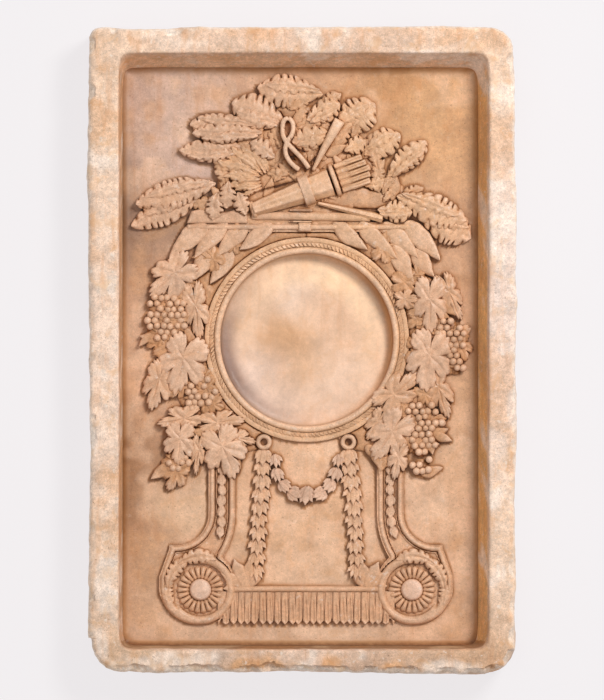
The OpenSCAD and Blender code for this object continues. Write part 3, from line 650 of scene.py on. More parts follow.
def make_bezel():
    peak = box_mm("bezel")[1][2]
    base = box_mm("bezel_leaf_tips")[0][2]
    tips = [p[:, :2] - DIAL for p, _ in cad_solids("bezel_leaf_tips")]
    r_in = DIAL_R + 0.2
    track_in = min(np.linalg.norm(p, axis=1).min() for p in tips)
    track_out = circle_of("bezel_leaf_tips")[1]
    track = track_out - track_in
    profile = [(r_in, 14.0), (r_in, 24.0), (r_in - 0.2, 30.0)] + bead(r_in, track_in, base, peak - base, 11)
    profile += [(track_in + track * t, base + 0.9) for t in (0.08, 0.3, 0.5, 0.7, 0.92)]
    profile += bead(track_out, BEZEL_R, base + 0.7, peak - 3.2 - base, 9)
    profile += [(BEZEL_R, SKIRT), (r_in + 8, SKIRT - 1)]
    add_piece("bezel", [lathe(DIAL, profile, 720, 0.7)])
    shells = []
    for p in tips:
        offset = p.mean(0)
        # The tips lie over to one side, like a rope of small leaves
        lean = math.degrees(math.atan2(offset[1], offset[0])) + 48
        form = laurel_form(track * 1.35 * (1 + 0.12 * rng.uniform(-1, 1)), track * 0.56, 14, 7, 1.3, 0.3)
        for turned in (-90 / len(tips), 90 / len(tips)):
            place = DIAL + turn(*offset, turned)
            shells.append(leaf_shell(form, place, lean, base + 1.3, base - 2.5, centred=True))
    add_piece("bezel_leaf_tips", shells)


# ---- leaves ----
# A form is (x, y, height) on a grid, with the stem at the origin and the midrib along +X.

def blade(nu, nv, power=0.75):
    """A grid of u along a blade and t across it, from -1 to 1, whose lines draw together at the edges."""
    u = np.linspace(0.0, 1.0, nu)[:, None] + np.zeros((1, nv))
    t = np.linspace(-1.0, 1.0, nv)[None, :] + np.zeros((nu, 1))
    return u, np.sign(t) * np.abs(t) ** power


def oak_form(length, width, lobes, nu=96, nv=27):
    u, t = blade(nu, nv, 0.8)
    out = np.abs(t)
    phase = (u + 0.03 * np.sin(11 * u + length)) * lobes + 0.22 * np.sign(t)
    scallop = np.abs(np.sin(PI * phase)) ** 0.5
    swell = np.sin(PI * u ** 1.12) ** 0.62
    y = t * (width / 2 * (swell * (0.80 + 0.20 * scallop)) + 1.1 * (1 - u) + 0.25)
    x = length * u + 0.34 * np.abs(y) * (1 - u)
    edge = rolled(t, 5)
    puff = scallop * out * (1.15 - out ** 3)
    rib = bell(y, 1.3) * (1 - u ** 3)
    step = length / lobes / PI
    vein = bell(np.sin(PI * (phase + 0.5)) * step, 1.0) * (out < 0.9)
    pit = bell(np.sin(PI * phase) * step, 1.3) * smooth((out - 0.62) / 0.2)
    fold = smooth((out - 0.42) / 0.12) * scallop
    trough = (1 - scallop) * smooth((out - 0.45) / 0.4)
    h = 2.4 * edge - 2.4 + 1.3 * puff + 0.9 * (1 - t * t) - 1.1 * rib - 0.4 * vein * out - 4.2 * pit
    h = h + 1.5 * np.sin(PI * u) - 1.2 * u ** 4 - 0.6 * fold - 1.7 * trough + 0.9 * t * np.sin(5 * u)
    return x, y, h + rough(x + 3 * width, y + length, [(9, 0.9), (4.5, 0.6)], 97) * edge


# A vine leaf's main veins: angle from its tip, share of its length
VINE_LOBES = ((0, 1.0), (62, 0.86), (-62, 0.86), (128, 0.66), (-128, 0.66))
# Its outline: angle from the tip, share of its length
VINE_OUTLINE = ((0, 1.0), (10, 0.93), (22, 0.86), (31, 0.76), (36, 0.60), (41, 0.76), (52, 0.90), (62, 0.96),
                (74, 0.90), (86, 0.82), (94, 0.64), (101, 0.78), (114, 0.86), (130, 0.84), (145, 0.78),
                (160, 0.68), (172, 0.5), (180, 0.3))


def vine_form(length, width, around=150, rings=18):
    """Rings of points, from the place where the veins meet out to the edge."""
    a = np.linspace(-PI, PI, around, endpoint=False)[None, :] + np.zeros((rings, 1))
    rho = (np.linspace(0.02, 1.0, rings) ** 0.85)[:, None] + np.zeros((1, around))
    deg = np.degrees(np.abs(a))
    teeth = np.abs(np.sin(a * 11.5 + 0.7 + 0.8 * np.sin(3 * a))) ** 0.7
    reach = np.interp(deg, *np.array(VINE_OUTLINE).T) * (0.88 + 0.12 * teeth) * rho
    r = length * reach
    edge = rolled(rho, 6)
    groove = np.zeros_like(a)
    near = np.full_like(a, 1e3)
    for at, size in VINE_LOBES:
        off = a - math.radians(at)
        across, along = r * np.sin(off), r * np.cos(off)
        ahead = (along > 0) & (np.abs(off) < 1.2)
        fade = (1 - (along / (size * length)) ** 4).clip(0, 1) * smooth(along / 5)
        groove = np.maximum(groove, bell(across, 1.1) * ahead * fade)
        near = np.minimum(near, np.where(ahead, np.abs(across), 1e3))
    curl = np.sin(9 * a + 4 * rho) * smooth((rho - 0.4) / 0.5)
    h = 2.8 * edge - 2.8 - 0.6 * groove + (smooth(np.minimum(near, 9) / 6.0) + 0.9 * curl) * edge
    for at in (36, 94):
        h = h - 3.6 * bell((deg - at) / 57.3 * r, 1.6) * smooth((rho - 0.66) / 0.25)
    h = h + 1.6 * (1 - reach ** 1.5) - 1.6 * reach ** 3 + 1.2 * np.sin(2.5 * a + 1) * rho ** 2
    return r * np.cos(a), r * np.sin(a) * width / (1.6 * length), h


def laurel_form(length, width, nu=44, nv=15, drop=2.4, keel=0.7, foot=0.72, tilt=0.6):
    u, t = blade(nu, nv)
    y = t * (width / 2 * np.sin(PI * u ** foot) ** 0.85 + 0.35)
    h = drop * rolled(t, 5) - drop + 1.2 * keel * (1 - np.abs(t)) - keel * bell(y, 1.0) * (1 - u ** 2)
    return length * u, y, h + tilt * t + 1.6 * tilt * u + 1.2 * keel * np.sin(PI * u)


def leaf_shell(form, place, degrees, top, base=SKIRT, centred=False, bend=0.0, star=False):
    """A leaf form set in place, its surface at about the height top. A star is made of rings."""
    x, y, h = form
    if centred:
        x = x - x.max() / 2
    if bend:
        y = y + bend * np.sin(x / max(x.max(), 1) * 2 * PI) * (x / x.max())
    px, py = turn(x, y, degrees)
    px, py = px + place[0], py + place[1]
    wander = min(0.9, x.max() / 40)
    px, py = (p + wander * (value_noise(px, py, 9, seed) + 2.2 * value_noise(px, py, 24, seed + 2))
              for p, seed in ((px, 91), (py, 92)))
    z = np.maximum(top + h + rough(px, py, [(11, 0.5), (5, 0.32)], 90), base + 0.5)
    if not star:
        return pillow(px, py, z, base)
    foot = np.column_stack([px[-1], py[-1], np.full(px.shape[1], base)])
    middle = foot * 0.1 + np.array([*place, base]) * 0.9
    return capped(np.concatenate([np.stack([px, py, z], -1), foot[None], middle[None]]))


def leaf_axis(points, vine):
    """Stem, direction, length and width of a CAD leaf, from the slot cut along its midrib."""
    top, low = points[:, 2].max(), points[:, 2].min()
    slot = points[(points[:, 2] > low + 0.5) & (points[:, 2] < top - 0.5)][:, :2]
    if len(slot) < 3:
        return None
    gap = np.linalg.norm(slot[:, None] - slot[None], axis=2)
    i, j = np.unravel_index(np.argmax(gap), gap.shape)
    if np.sort(gap[i])[1] > np.sort(gap[j])[1]:
        i, j = j, i
    mate = np.argsort(gap[i])[1]
    tip, stem = slot[j], (slot[i] + slot[mate]) / 2
    ahead = (tip - stem) / np.linalg.norm(tip - stem)
    along = (points[:, :2] - stem) @ ahead
    if len(slot) == 3 and gap[i, mate] > 2.2:
        length = np.linalg.norm(tip - stem) / 0.78
        stem = stem - ahead * 0.08 * length
    elif vine:
        length = np.ptp(along) / 1.38
        stem = stem + ahead * (along.min() + 0.38 * length)
    else:
        length = np.ptp(along)
        stem = stem + ahead * along.min()
    side = np.abs((points[:, :2] - stem) @ normal_to(ahead))
    return stem, math.degrees(math.atan2(ahead[1], ahead[0])), length, 2 * side.max(), top


def cad_leaves(node, vine=False):
    """(stem, direction, length, width, top) of every leaf in a node."""
    found = [leaf_axis(points, vine) for points, _ in cad_solids(node)]
    return [axis for axis in found if axis]


def make_leaves(node, kind, raise_by=0.0):
    shells = []
    for k, (stem, direction, length, width, high) in enumerate(cad_leaves(node, kind == "vine")):
        top = high - 0.5 + raise_by + 0.5 * math.sin(7.3 * k)
        direction += 2.5 * math.sin(5.1 * k)
        if kind == "flame":
            # Each tongue of flame is a lock of three waving strands
            for off, long, up in ((-0.34, 0.86, -2.6), (0.34, 0.86, -2.6), (0.0, 1.02, -1.4)):
                form = oak_form(length * long, width * 0.86, 5, 52, 13)
                bend = 3.4 * (1 if (k + (off > 0)) % 2 else -1)
                shells.append(leaf_shell(form, stem + off * width * normal_to(unit(direction)),
                                         direction + off * 14, top + up, bend=bend))
            continue
        if kind == "oak":
            lobes = max(4, round(length / 11))
            form = oak_form(length * 1.04, width * 1.16, lobes)
            top -= 0.9
            if length > 45:
                # The upper blade, folded over the lower one
                off = turn(0.06 * length, 0.16 * width * (1 if k % 2 else -1), direction)
                upper = oak_form(length * 0.86, width * 0.56, lobes - 1, 80, 21)
                shells.append(leaf_shell(upper, stem + off, direction + 3 * math.sin(2.3 * k), top + 2.0))
        elif kind == "vine":
            form = vine_form(length * 1.08, width * 1.08)
        else:
            form = laurel_form(length * 1.38, width * 1.16, 60, 19, 3.0, 1.1, 0.66, 1.5)
            stem = stem - unit(direction) * 18
            top -= 1.2 + 1.3 * (k % 3)
        shells.append(leaf_shell(form, stem, direction, top, star=kind == "vine"))
    add_piece(node, shells)


# ---- ground masses ----

def make_bed(node, kinds, count, seed, extra=()):
    """The filled ground under a spray, with lesser leaves all over it."""
    pick = np.random.default_rng(seed)
    low, high = box_mm(node)

    def mound(x, y, far):
        return high[2] - 1.4 - 4.0 * np.exp(-far / 4.0) + rough(x, y, [(16, 1.2), (6, 0.6), (3, 0.3)], seed)

    shells = []
    ground = []
    for points, tri in cad_solids(node):
        loops = bottom_loops(points, tri)
        if loops and max(np.ptp(loop, axis=0).max() for loop in loops) >= 6:
            ground += loops
            shells.append(carve(loops, mound, step=2.2))
    placed = 0
    for _ in range(4000):
        if placed == count:
            break
        place = np.array([pick.uniform(low[k], high[k]) for k in (0, 1)])
        x, y = place[:, None]
        from_dial = place - DIAL
        if not inside(ground, x, y)[0] or edge_distance(ground, x, y)[0] < 3.5 or (
                math.hypot(*from_dial) < BEZEL_R + 12):
            continue
        direction = math.degrees(math.atan2(from_dial[1], from_dial[0])) + pick.uniform(-75, 75)
        size = pick.uniform(20, 34)
        kind = kinds[placed % len(kinds)]
        if kind == "vine":
            form = vine_form(size, size * 1.15, 90, 11)
        elif kind == "oak":
            form = oak_form(size * 1.4, size * 0.72, 4, 52, 17)
        else:
            form = laurel_form(size * 1.25, size * 0.55, 30, 11)
        top = high[2] + 0.6 + pick.uniform(-1.2, 1.8)
        shells.append(leaf_shell(form, place, direction, top, star=kind == "vine"))
        placed += 1
    add_piece(node, shells + list(extra), "bed_plaster")


# ---- grapes ----

def ball(centre, r, base):
    """A grape: most of a ball, on a short upright foot."""
    angle = np.linspace(0, 2 * PI, 18, endpoint=False)
    rings = []
    for f in np.linspace(0.12, 1.0, 8):
        bow = f * 0.62 * PI
        rings.append(at_height(on_circle(centre, r * math.sin(bow), angle),
                               max(centre[2] + r * math.cos(bow), base + 0.1)))
    rings.append(at_height(on_circle(centre, r * math.sin(bow) * 0.98, angle), base))
    return capped(np.stack(rings))


def make_grapes(node):
    """Closely packed grapes over the area of the CAD cluster, at its heights."""
    tops = []
    for points, _ in cad_solids(node):
        low, high = points.min(0), points.max(0)
        tops.append(((low[0] + high[0]) / 2, (low[1] + high[1]) / 2, high[2], (high[0] - low[0]) / 2))
    tops = np.array(tops)
    step = 9.5
    low, high = tops[:, :2].min(0) - 8, tops[:, :2].max(0) + 8
    shells = []
    for row, y in enumerate(np.arange(low[1], high[1], step * 0.87)):
        for x in np.arange(low[0] + (row % 2) * step / 2, high[0], step):
            at = np.array([x, y]) + rng.uniform(-1.1, 1.1, 2)
            far = np.hypot(*(tops[:, :2] - at).T)
            if far.min() <= tops[np.argmin(far), 3] * 0.98:
                share = bell(far, 9.0) + 1e-9
                top = (tops[:, 2] * share).sum() / share.sum() + rng.uniform(-1.6, 0.6)
                r = 5.3 + 0.45 * rng.uniform(-1, 1)
                shells.append(ball((*at, top - r), r, SKIRT + 2))
    add_piece(node, shells)


# ---- rods, bands and other turned or straight work ----

def spine(points):
    """Both ends, and the half width at each, of a straight CAD piece."""
    flat = points[:, :2]
    mid = flat.mean(0)
    ahead = np.linalg.eigh(np.cov((flat - mid).T))[1][:, 1]
    if abs(ahead[0]) > 0.2 and ahead[0] < 0 or abs(ahead[0]) <= 0.2 and ahead[1] < 0:
        ahead = -ahead
    side = normal_to(ahead)
    along, across = (flat - mid) @ ahead, (flat - mid) @ side
    a, b = along.min(), along.max()
    near, far = across[along < a + 0.12 * (b - a)], across[along > b - 0.12 * (b - a)]
    start, stop = (mid + ahead * c + side * (end.max() + end.min()) / 2 for c, end in ((a, near), (b, far)))
    return start, stop, np.ptp(near) / 2, np.ptp(far) / 2


def rod(p, q, wide_p, wide_q, top, high=None, flutes=0, flute_depth=0.0, nu=60, ease=3.0, swell=None):
    """A half-round bar from p to q. Its crown is at top, and its sides go straight down."""
    p, q = np.array(p, float), np.array(q, float)
    length = np.linalg.norm(q - p)
    side = normal_to((q - p) / length)
    bow = np.linspace(0, PI, 29)
    cut = 1 - flute_depth * np.abs(np.sin(bow * flutes / 2)) ** 0.7
    rings = []
    for f in np.linspace(0, 1, nu):
        short = max(0.0, 1 - min(f, 1 - f) * length / ease) if ease > 0 else 0.0
        end = max(math.sqrt(max(0.0, 1 - short ** 2)), 0.12)
        wide = (wide_p + (wide_q - wide_p) * f) * (0.55 + 0.45 * end) * (swell(f) if swell else 1)
        tall = (high or wide) * (0.35 + 0.65 * end)
        xy = p + (q - p) * f + side * (wide * np.cos(bow) * cut)[:, None]
        z = top - (high or max(wide_p, wide_q)) + tall * np.sin(bow) ** 0.8 * cut
        ring = at_height(xy, z + rough(*xy.T, [(14, 0.22), (5, 0.14)], 99))
        rings.append(np.vstack([ring, at_height(xy[[-1, 0]], SKIRT)]))
    return capped(np.stack(rings))


def rounded_plate(top, ease, dome=0.0):
    """Height function of a flat piece with rolled edges."""

    def height(x, y, far):
        k = np.clip(1 - far / ease, 0, 1)
        rise = dome * smooth(far / (ease * 3)) + rough(x, y, [(12, 0.25), (4, 0.15)], 3)
        return top - ease * 0.8 * (1 - np.sqrt(np.maximum(1 - k * k, 0))) + rise
    return height


def make_plate(node, ease, dome, step=GRID, lift=0.0):
    add_piece(node, [carve(bottom_loops(points, tri),
                           rounded_plate(points[:, 2].max() + lift, ease, dome), step)
                     for points, tri in cad_solids(node)])


def ground_strip(x0, x1, y0, y1, counts, z, seed, bumps=0.5):
    """Uneven ground over a rectangle."""
    px, py = np.meshgrid(np.linspace(x0, x1, counts[0]), np.linspace(y0, y1, counts[1]), indexing="ij")
    return pillow(px, py, z + rough(px, py, [(9, bumps), (4, 0.3)], seed))


TIE_LIFT = 6.5          # the crossbar and its fittings stand this much prouder than in the CAD


def tie_ground():
    """The ground between the crossbar and the quiver."""
    bar_y = box_mm("crossbar")[0][1] + 1
    start, stop, _, _ = spine(cad_mesh("quiver")[0])
    line = start + (stop - start) * np.linspace(-0.30, 1.28, 90)[:, None]
    px = np.repeat(line[:, :1], 20, 1)
    py = bar_y + (line[:, 1:] - bar_y) * np.linspace(0, 1, 20)
    return pillow(px, py, box_mm("oak_bed")[1][2] - 0.6 + rough(px, py, [(16, 1.0), (6, 0.7), (3, 0.3)], 160))


def make_trophy():
    for node, ease in (("crossbar", 1.0), ("staff", 2.0)):
        points = cad_mesh(node)[0]
        p, q, a, b = spine(points)
        top = points[:, 2].max() + TIE_LIFT
        shells = [rod(p, q, a, b, top, ease=ease, nu=140)]
        if node == "crossbar":
            shells.append(ground_strip(p[0] + 5, q[0] - 5, p[1] - a - 3, p[1] + b + 3,
                                       (160, 9), top - 4.5, 170, 0.6))
        add_piece(node, shells)
    points = cad_mesh("quiver")[0]
    p, q, a, b = spine(points)
    top = points[:, 2].max()
    d = (q - p) / np.linalg.norm(q - p)
    side = normal_to(d)
    foot = rod(p - d * 3, p + d * 5, a * 1.05, a * 1.12, top - 6, high=10, nu=14)
    add_piece("quiver", [rod(p, q, a, b, top, top - 33, 9, 0.10, 90, 2.0), foot])

    def band(node, base, nu, ease, flute_depth=0.0):
        """A band round the quiver, its crown rising from the height base."""
        points = cad_mesh(node)[0]
        mid = (points[:, :2].min(0) + points[:, :2].max(0)) / 2
        along, across = (points[:, :2] - mid) @ d, (points[:, :2] - mid) @ side
        wide, top = np.abs(across).max(), points[:, 2].max()
        add_piece(node, [rod(mid + d * along.min(), mid + d * along.max(), wide, wide, top, top - base, 3,
                             flute_depth, nu, ease)])

    band("quiver_band", 33, 16, 2.5)
    shells = []
    for points, _ in cad_solids("arrows"):
        along, across = points[:, :2] @ d, points[:, :2] @ side
        middle = side * (across.min() + across.max()) / 2
        start, stop = d * along.min() + middle, d * along.max() + middle
        r, top = np.ptp(across) / 2, points[:, 2].max()
        shells.append(rod(start, stop, r * 1.08, r * 1.12, top, nu=50, ease=2.0,
                          swell=lambda f: 0.82 + 0.18 * smooth((f - 0.3) / 0.12)))
        # A rib on each vane of the arrow
        for s in (-1, 1):
            shells.append(rod(start + d * 18 + side * s * 1.6, stop - d + side * s * 2.2,
                              1.3, 1.7, top + 1.2, nu=30))
    points = cad_mesh("arrows")[0]
    p, q, a, b = spine(points)
    shells.append(rod(p, q - d * 6, a * 0.95, b * 0.95, points[:, 2].max() - 3.0, high=4, nu=30))
    add_piece("arrows", shells)
    shells = []
    for points, _ in cad_solids("torch"):
        p, q, a, b = spine(points)
        if np.ptp(points[:, 0]) >= 4:
            q = q + (q - p) * (0.14 if b > a else 0.0)
            shells.append(rod(p, q, a, b * 1.1, points[:, 2].max() + 1, 9, 7, 0.12, ease=2.0))
    add_piece("torch", shells)
    make_leaves("torch_flame", "flame")
    band("ribbon_band", 32, 22, 2.0, 0.03)
    make_plate("crossbar_end", 3.0, 1.0, lift=TIE_LIFT - 3)
    low, high = box_mm("crossbar_clip")
    y, half = (low[1] + high[1]) / 2, (high[1] - low[1]) / 2
    add_piece("crossbar_clip", [rod((low[0], y), (high[0], y), half, half, high[2] + TIE_LIFT, nu=24)])
    make_plate("ribbon_knot", 4.5, 1.5, lift=4)
    make_plate("ribbon_loop", 2.4, 0.3, 1.2)
    make_plate("spray_stem", 4.0, 1.5)


# ---- husks ----

def husk_axis(points, tri):
    """Top, middle tip and width of a bell-shaped husk."""
    loop = bottom_loops(points, tri)[0]
    n = len(loop)
    before, after = loop - np.roll(loop, 1, axis=0), np.roll(loop, -1, axis=0) - loop
    cross = before[:, 0] * after[:, 1] - before[:, 1] * after[:, 0]
    dents = [k for k in range(n) if cross[k] * np.sign(cross.sum()) < -0.01]
    tips = [(k + 1) % n for k in dents if (k + 2) % n in dents]
    if not tips or n != 9:
        low, high = loop.min(0), loop.max(0)
        x = (low[0] + high[0]) / 2
        return np.array([x, high[1]]), np.array([x, low[1]]), high[0] - low[0]
    tip = tips[-1]
    top = (loop[(tip + 4) % n] + loop[(tip + 5) % n]) / 2
    ahead = (loop[tip] - top) / np.linalg.norm(loop[tip] - top)
    return top, loop[tip], 2 * np.abs((loop - top) @ normal_to(ahead)).max()


def petal(length, width, rise):
    u, t = blade(18, 9)
    drop = 2.0
    belly = 0.42 + 0.58 * np.sin(PI * np.clip(u * 0.95 + 0.05, 0, 1) ** 1.1)
    y = t * (width / 2 * belly * np.clip((1 - u) / 0.3, 0.04, 1) ** 0.6)
    h = drop * rolled(t, 4) - drop + rise * u ** 1.3
    h = h - 0.5 * bell(y, 0.7) * (1 - u) - 1.4 * smooth((u - 0.8) / 0.2)
    return length * u, y, h


# Petals of a husk: spread in degrees, share of the length, share of the width, lift
HUSK = ((-42, 0.74, 0.36, -0.6), (42, 0.74, 0.36, -0.6), (-21, 0.92, 0.36, 0.3), (21, 0.92, 0.36, 0.3),
        (0, 1.0, 0.38, 1.3))
LOBES = ((-64, 0.7, 0.40, -0.9), (64, 0.7, 0.40, -0.9), (-34, 0.9, 0.44, 0.0), (34, 0.9, 0.44, 0.0),
         (0, 1.0, 0.46, 1.0))
EGG = ((-20, 0.8, 0.5, 0.0), (20, 0.8, 0.5, 0.0), (0, 1.0, 0.74, 1.2))


def husk_shells(top, tip, width, z, rise, overlap=1.5, petals=HUSK):
    length = np.linalg.norm(tip - top) * overlap * rng.uniform(0.94, 1.08)
    angle = math.degrees(math.atan2(tip[1] - top[1], tip[0] - top[0])) + rng.uniform(-5, 5)
    width = width * rng.uniform(0.94, 1.1)
    start = top - (tip - top) / np.linalg.norm(tip - top) * length * 0.22
    return [leaf_shell(petal(length * long, width * broad, rise), start, angle + spread + rng.uniform(-4, 4),
                       z + lift + rng.uniform(-0.4, 0.4)) for spread, long, broad, lift in petals]


def make_husks(node, lift=-2.2, rise=4.4, widen=1.2):
    shells = []
    for points, tri in cad_solids(node):
        top, tip, width = husk_axis(points, tri)
        shells += husk_shells(top, tip, width * widen, points[:, 2].max() + lift, rise)
    add_piece(node, shells)


def make_chain(node):
    """A run of egg-shaped husks, each out of the mouth of the one before, along the CAD husks."""
    axes = sorted((husk_axis(*solid)[:2] for solid in cad_solids(node)), key=lambda pair: -pair[0][1])
    path = np.array([axes[0][0]] + [(top + tip) / 2 for top, tip in axes] + [axes[-1][1]])
    steps = np.r_[0, np.cumsum(np.linalg.norm(np.diff(path, axis=0), axis=1))]
    at = np.linspace(0, steps[-1], max(2, round(steps[-1] / 15.5)) + 1)
    stops = np.stack([np.interp(at, steps, path[:, k]) for k in (0, 1)], -1)
    high = box_mm(node)[1][2]
    shells = []
    for top, tip in zip(stops[:-1], stops[1:]):
        shells += husk_shells(top, tip, 14, high - 0.2, 1.8, 1.3, EGG)
    add_piece(node, shells)


# ---- scroll brackets and plinth ----

PANEL_Z = FLOOR_Z + 2.6         # ground of the brackets


def moulding(d, width, power=0.5):
    """Cross-section, from 0 to 1, of a rounded strip at d from its middle."""
    return np.clip(1 - (d / width) ** 2, 0, 1) ** power


def make_scroll(side):
    eye, petal_r = circle_of("rosette_" + side)
    ring_in, ring_out = petal_r + 4.0, petal_r + 16.0
    points, tri = cad_mesh("scroll_" + side)
    top = points[:, 2].max() + 1.0
    tall = top - PANEL_Z
    outward = -1 if side == "left" else 1

    def height(x, y, far):
        outer_step = 0.7 * (1 - 0.25 * smooth(far / 1.4)) * (far < 2.6)
        border = np.maximum(moulding(far - 5.4, 3.7, 0.35), outer_step)
        z = np.maximum(tall * border, 2.2 * moulding(far - 11.2, 1.2))
        r = np.hypot(x - eye[0], y - eye[1])
        ring = np.maximum((tall + 0.8) * moulding(r - ring_out + 6.0, 6.0, 0.35),
                          (tall - 1.4) * moulding(r - ring_in - 0.6, 1.5))
        # The ring is the end of the bracket's inner border, so it dies away on the outer side
        toward = np.cos(np.arctan2(y - eye[1], x - eye[0]) - math.radians(90 - 62 * outward))
        ring = ring + smooth((toward - 0.30) / 0.25) * (-1.0 - ring)
        z = np.where(r < ring_out + 0.5, ring, z)
        joined = (tall + 0.8) * moulding(1 - np.clip(far / 7, 0, 1), 1)
        z = z + smooth((eye[1] - 6 - y) / 12) * smooth((r - ring_out + 9) / 4) * (joined - z)
        z = np.where(r < ring_in - 0.5, -1.5, z)
        return PANEL_Z + z + rough(x, y, [(14, 0.35), (5, 0.2)], 120)

    shells = [carve([max(bottom_loops(points, tri), key=len)], height, 1.25)]
    # Acanthus leaves curl round the outside of the eye
    for start, length, out, wide, lift in ((-38, 50, 13, 17, -1.6), (0, 58, 12, 20, -0.6),
                                           (48, 60, 14, 21, 0.4)):
        x, y, h = oak_form(length, wide, 6, 70, 19)
        r = petal_r + out
        angle = math.radians(start if side == "right" else 180 - start) + outward * x / r
        px, py = np.moveaxis(on_circle(eye, r + y, angle), -1, 0)
        shells.append(pillow(px, py, top + lift + h + rough(px, py, [(9, 0.5), (4, 0.3)], 95)))
    add_piece("scroll_" + side, shells)


BUTTON_R = 15.5


def make_rosette(node):
    eye, petal_r = circle_of(node)
    edge = petal_r + 1.5
    angle = np.linspace(0, 2 * PI, 22 * 14, endpoint=False)
    lobe, lobe_in = np.abs(np.cos(11 * angle)), np.abs(np.sin(11 * angle))
    rings = []
    for r in np.r_[np.linspace(0.8, BUTTON_R - 2, 8), BUTTON_R + np.array([-1.2, -0.5, 0, 0.6]),
                   np.linspace(BUTTON_R + 1.2, edge, 22)]:
        if r <= BUTTON_R:
            z = 7.6 - 1.6 * (r / BUTTON_R) ** 2 - 3.0 * smooth((r - BUTTON_R + 2.2) / 2.2)
        else:
            f = (r - BUTTON_R) / (edge - BUTTON_R)
            inner = 3.2 * bell(f - 0.18, 0.16) * (0.35 + 0.65 * lobe_in ** 0.6)
            outer = (2.2 + 4.4 * math.sin(PI * min(1, f * 1.02)) ** 0.7) * (0.30 + 0.70 * lobe ** 0.6)
            z = np.maximum(inner, outer) - 2 - 6.0 * smooth((f - 0.80) / 0.12) * (1.3 - lobe ** 1.5)
        xy = on_circle(eye, r, angle)
        rings.append(at_height(xy, PANEL_Z + z + rough(*xy.T, [(9, 0.25), (3, 0.15)], 130)))
    rings += [at_height(on_circle(eye, r, angle), SKIRT) for r in (edge, edge * 0.5, 0.8)]
    add_piece(node, [capped(np.stack(rings))])


def make_plinth():
    low, high = box_mm("plinth_rail")
    mid, half = (low[1] + high[1]) / 2 + 0.5, (high[1] - low[1]) / 2
    add_piece("plinth_rail", [rod((low[0] - 3, mid), (high[0] + 3, mid), half, half, high[2] + 0.6, 5, nu=200,
                                  ease=0.0)])
    low, high = box_mm("plinth_tongues")
    shells = [ground_strip(low[0] + 1, high[0] - 1, low[1] + 9, high[1] + 2, (120, 24), high[2] - 2.0, 150)]
    u, t = blade(44, 15, 1)
    for points, tri in cad_solids("plinth_tongues"):
        low, high = points.min(0), points.max(0)
        wide, length = high[0] - low[0], high[1] - low[1]
        if wide < 5 or length < 20:
            shells.append(carve(bottom_loops(points, tri), rounded_plate(high[2] - 0.5, 2.0), 1.4, 1))
            continue
        grow = 1 + 0.10 * rng.uniform(-1, 1)
        across = t * wide / 2 * (0.86 + 0.26 * u) * grow * np.clip((1 - u) / 0.11, 0.05, 1) ** 0.75
        px = (low[0] + high[0]) / 2 + across + 0.7 * rng.uniform(-1, 1) + rng.uniform(-1.4, 1.4) * u
        py = high[1] + 1 - length * u
        # A narrow channel up the middle widens to the foot
        start = rng.uniform(0.05, 0.35)
        channel = bell(across - rng.uniform(-0.5, 0.5), 0.5 + 1.5 * u)
        channel = channel * smooth((u - start) / 0.2) * smooth((0.95 - u) / 0.1)
        z = high[2] + 1.5 * rolled(t, 4) - 1.5 - 1.7 * channel + 1.2 * u + 0.5 * rng.uniform(-1, 1)
        shells.append(pillow(px, py, z + rough(px, py, [(7, 0.3), (3, 0.15)], 140)))
    add_piece("plinth_tongues", shells)


# ---- putting it together ----

make_rim()
make_floor()
make_dial()
make_bezel()
make_bed("oak_bed", ("oak", "laurel", "oak"), 84, 5, [tie_ground()])
make_bed("garland_bed_left", ("vine", "laurel", "vine"), 60, 6)
make_bed("garland_bed_right", ("vine", "vine", "laurel"), 62, 7)
for part, lift in (("leaves_back", 3.0), ("leaves_front", -0.5), ("sprig", 1.0)):
    make_leaves("oak_" + part, "oak", lift)
for end in ("_left", "_right"):
    make_leaves("laurel_upper" + end, "laurel", -4.6)
    make_leaves("laurel_lower" + end, "laurel", 2.0)
    make_leaves("vine_back" + end, "vine", 4.0)
    make_leaves("vine_front" + end, "vine", -1.0)
    for place in ("upper", "lower", "foot"):
        make_grapes("grapes_" + place + end)
    ring_mid, ring_out = circle_of("ring" + end)
    ring_in = ring_out * 0.44
    ring_z = box_mm("ring" + end)[1][2]
    section = bead(ring_in, ring_out, ring_z - 3.5, 3.5, 11) + [(ring_out, SKIRT), (ring_in, SKIRT)]
    add_piece("ring" + end, [lathe(ring_mid, section, 64, 0.4)])
    make_husks("drop" + end)
    make_scroll(end[1:])
    make_rosette("rosette" + end)
    make_chain("scroll_chain" + end)
    shells = []
    for stem, direction, length, width, high_z in cad_leaves("corner_leaf" + end):
        tip = stem + unit(direction) * length * 0.92
        shells += husk_shells(stem, tip, width * 1.5, high_z - 1.5, 3.0, 1.25, LOBES)
    add_piece("corner_leaf" + end, shells)
make_husks("swag", -0.2, 3.0, 1.7)
make_trophy()
make_plinth()

for node in ("laths_long", "laths_cross"):
    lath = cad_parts[node]
    lath.data.materials.clear()
    lath.data.materials.append(MATERIALS[node])


# ---- tone, and dirt with painted shade, painted on the vertices ----

def blurred(field, cells):
    """Box blur, twice, by running sums."""
    for axis in (0, 1, 0, 1):
        padded = np.concatenate([np.repeat(field.take([0], axis), cells + 1, axis), field,
                                 np.repeat(field.take([-1], axis), cells, axis)], axis)
        total = np.cumsum(padded, axis)
        width = 2 * cells + 1
        n = field.shape[axis]
        field = (total.take(range(width, width + n), axis) - total.take(range(0, n), axis)) / width
    return field


MAP_CELL = 1.5
map_low = np.array(cad_box[0])[:2] * 1000 - 12
map_size = (((np.array(cad_box[1])[:2] * 1000 + 12) - map_low) / MAP_CELL).astype(int) + 1


def cell_of(points):
    k = ((points[:, :2] - map_low) / MAP_CELL).astype(int)
    return np.clip(k[:, 0], 0, map_size[0] - 1), np.clip(k[:, 1], 0, map_size[1] - 1)


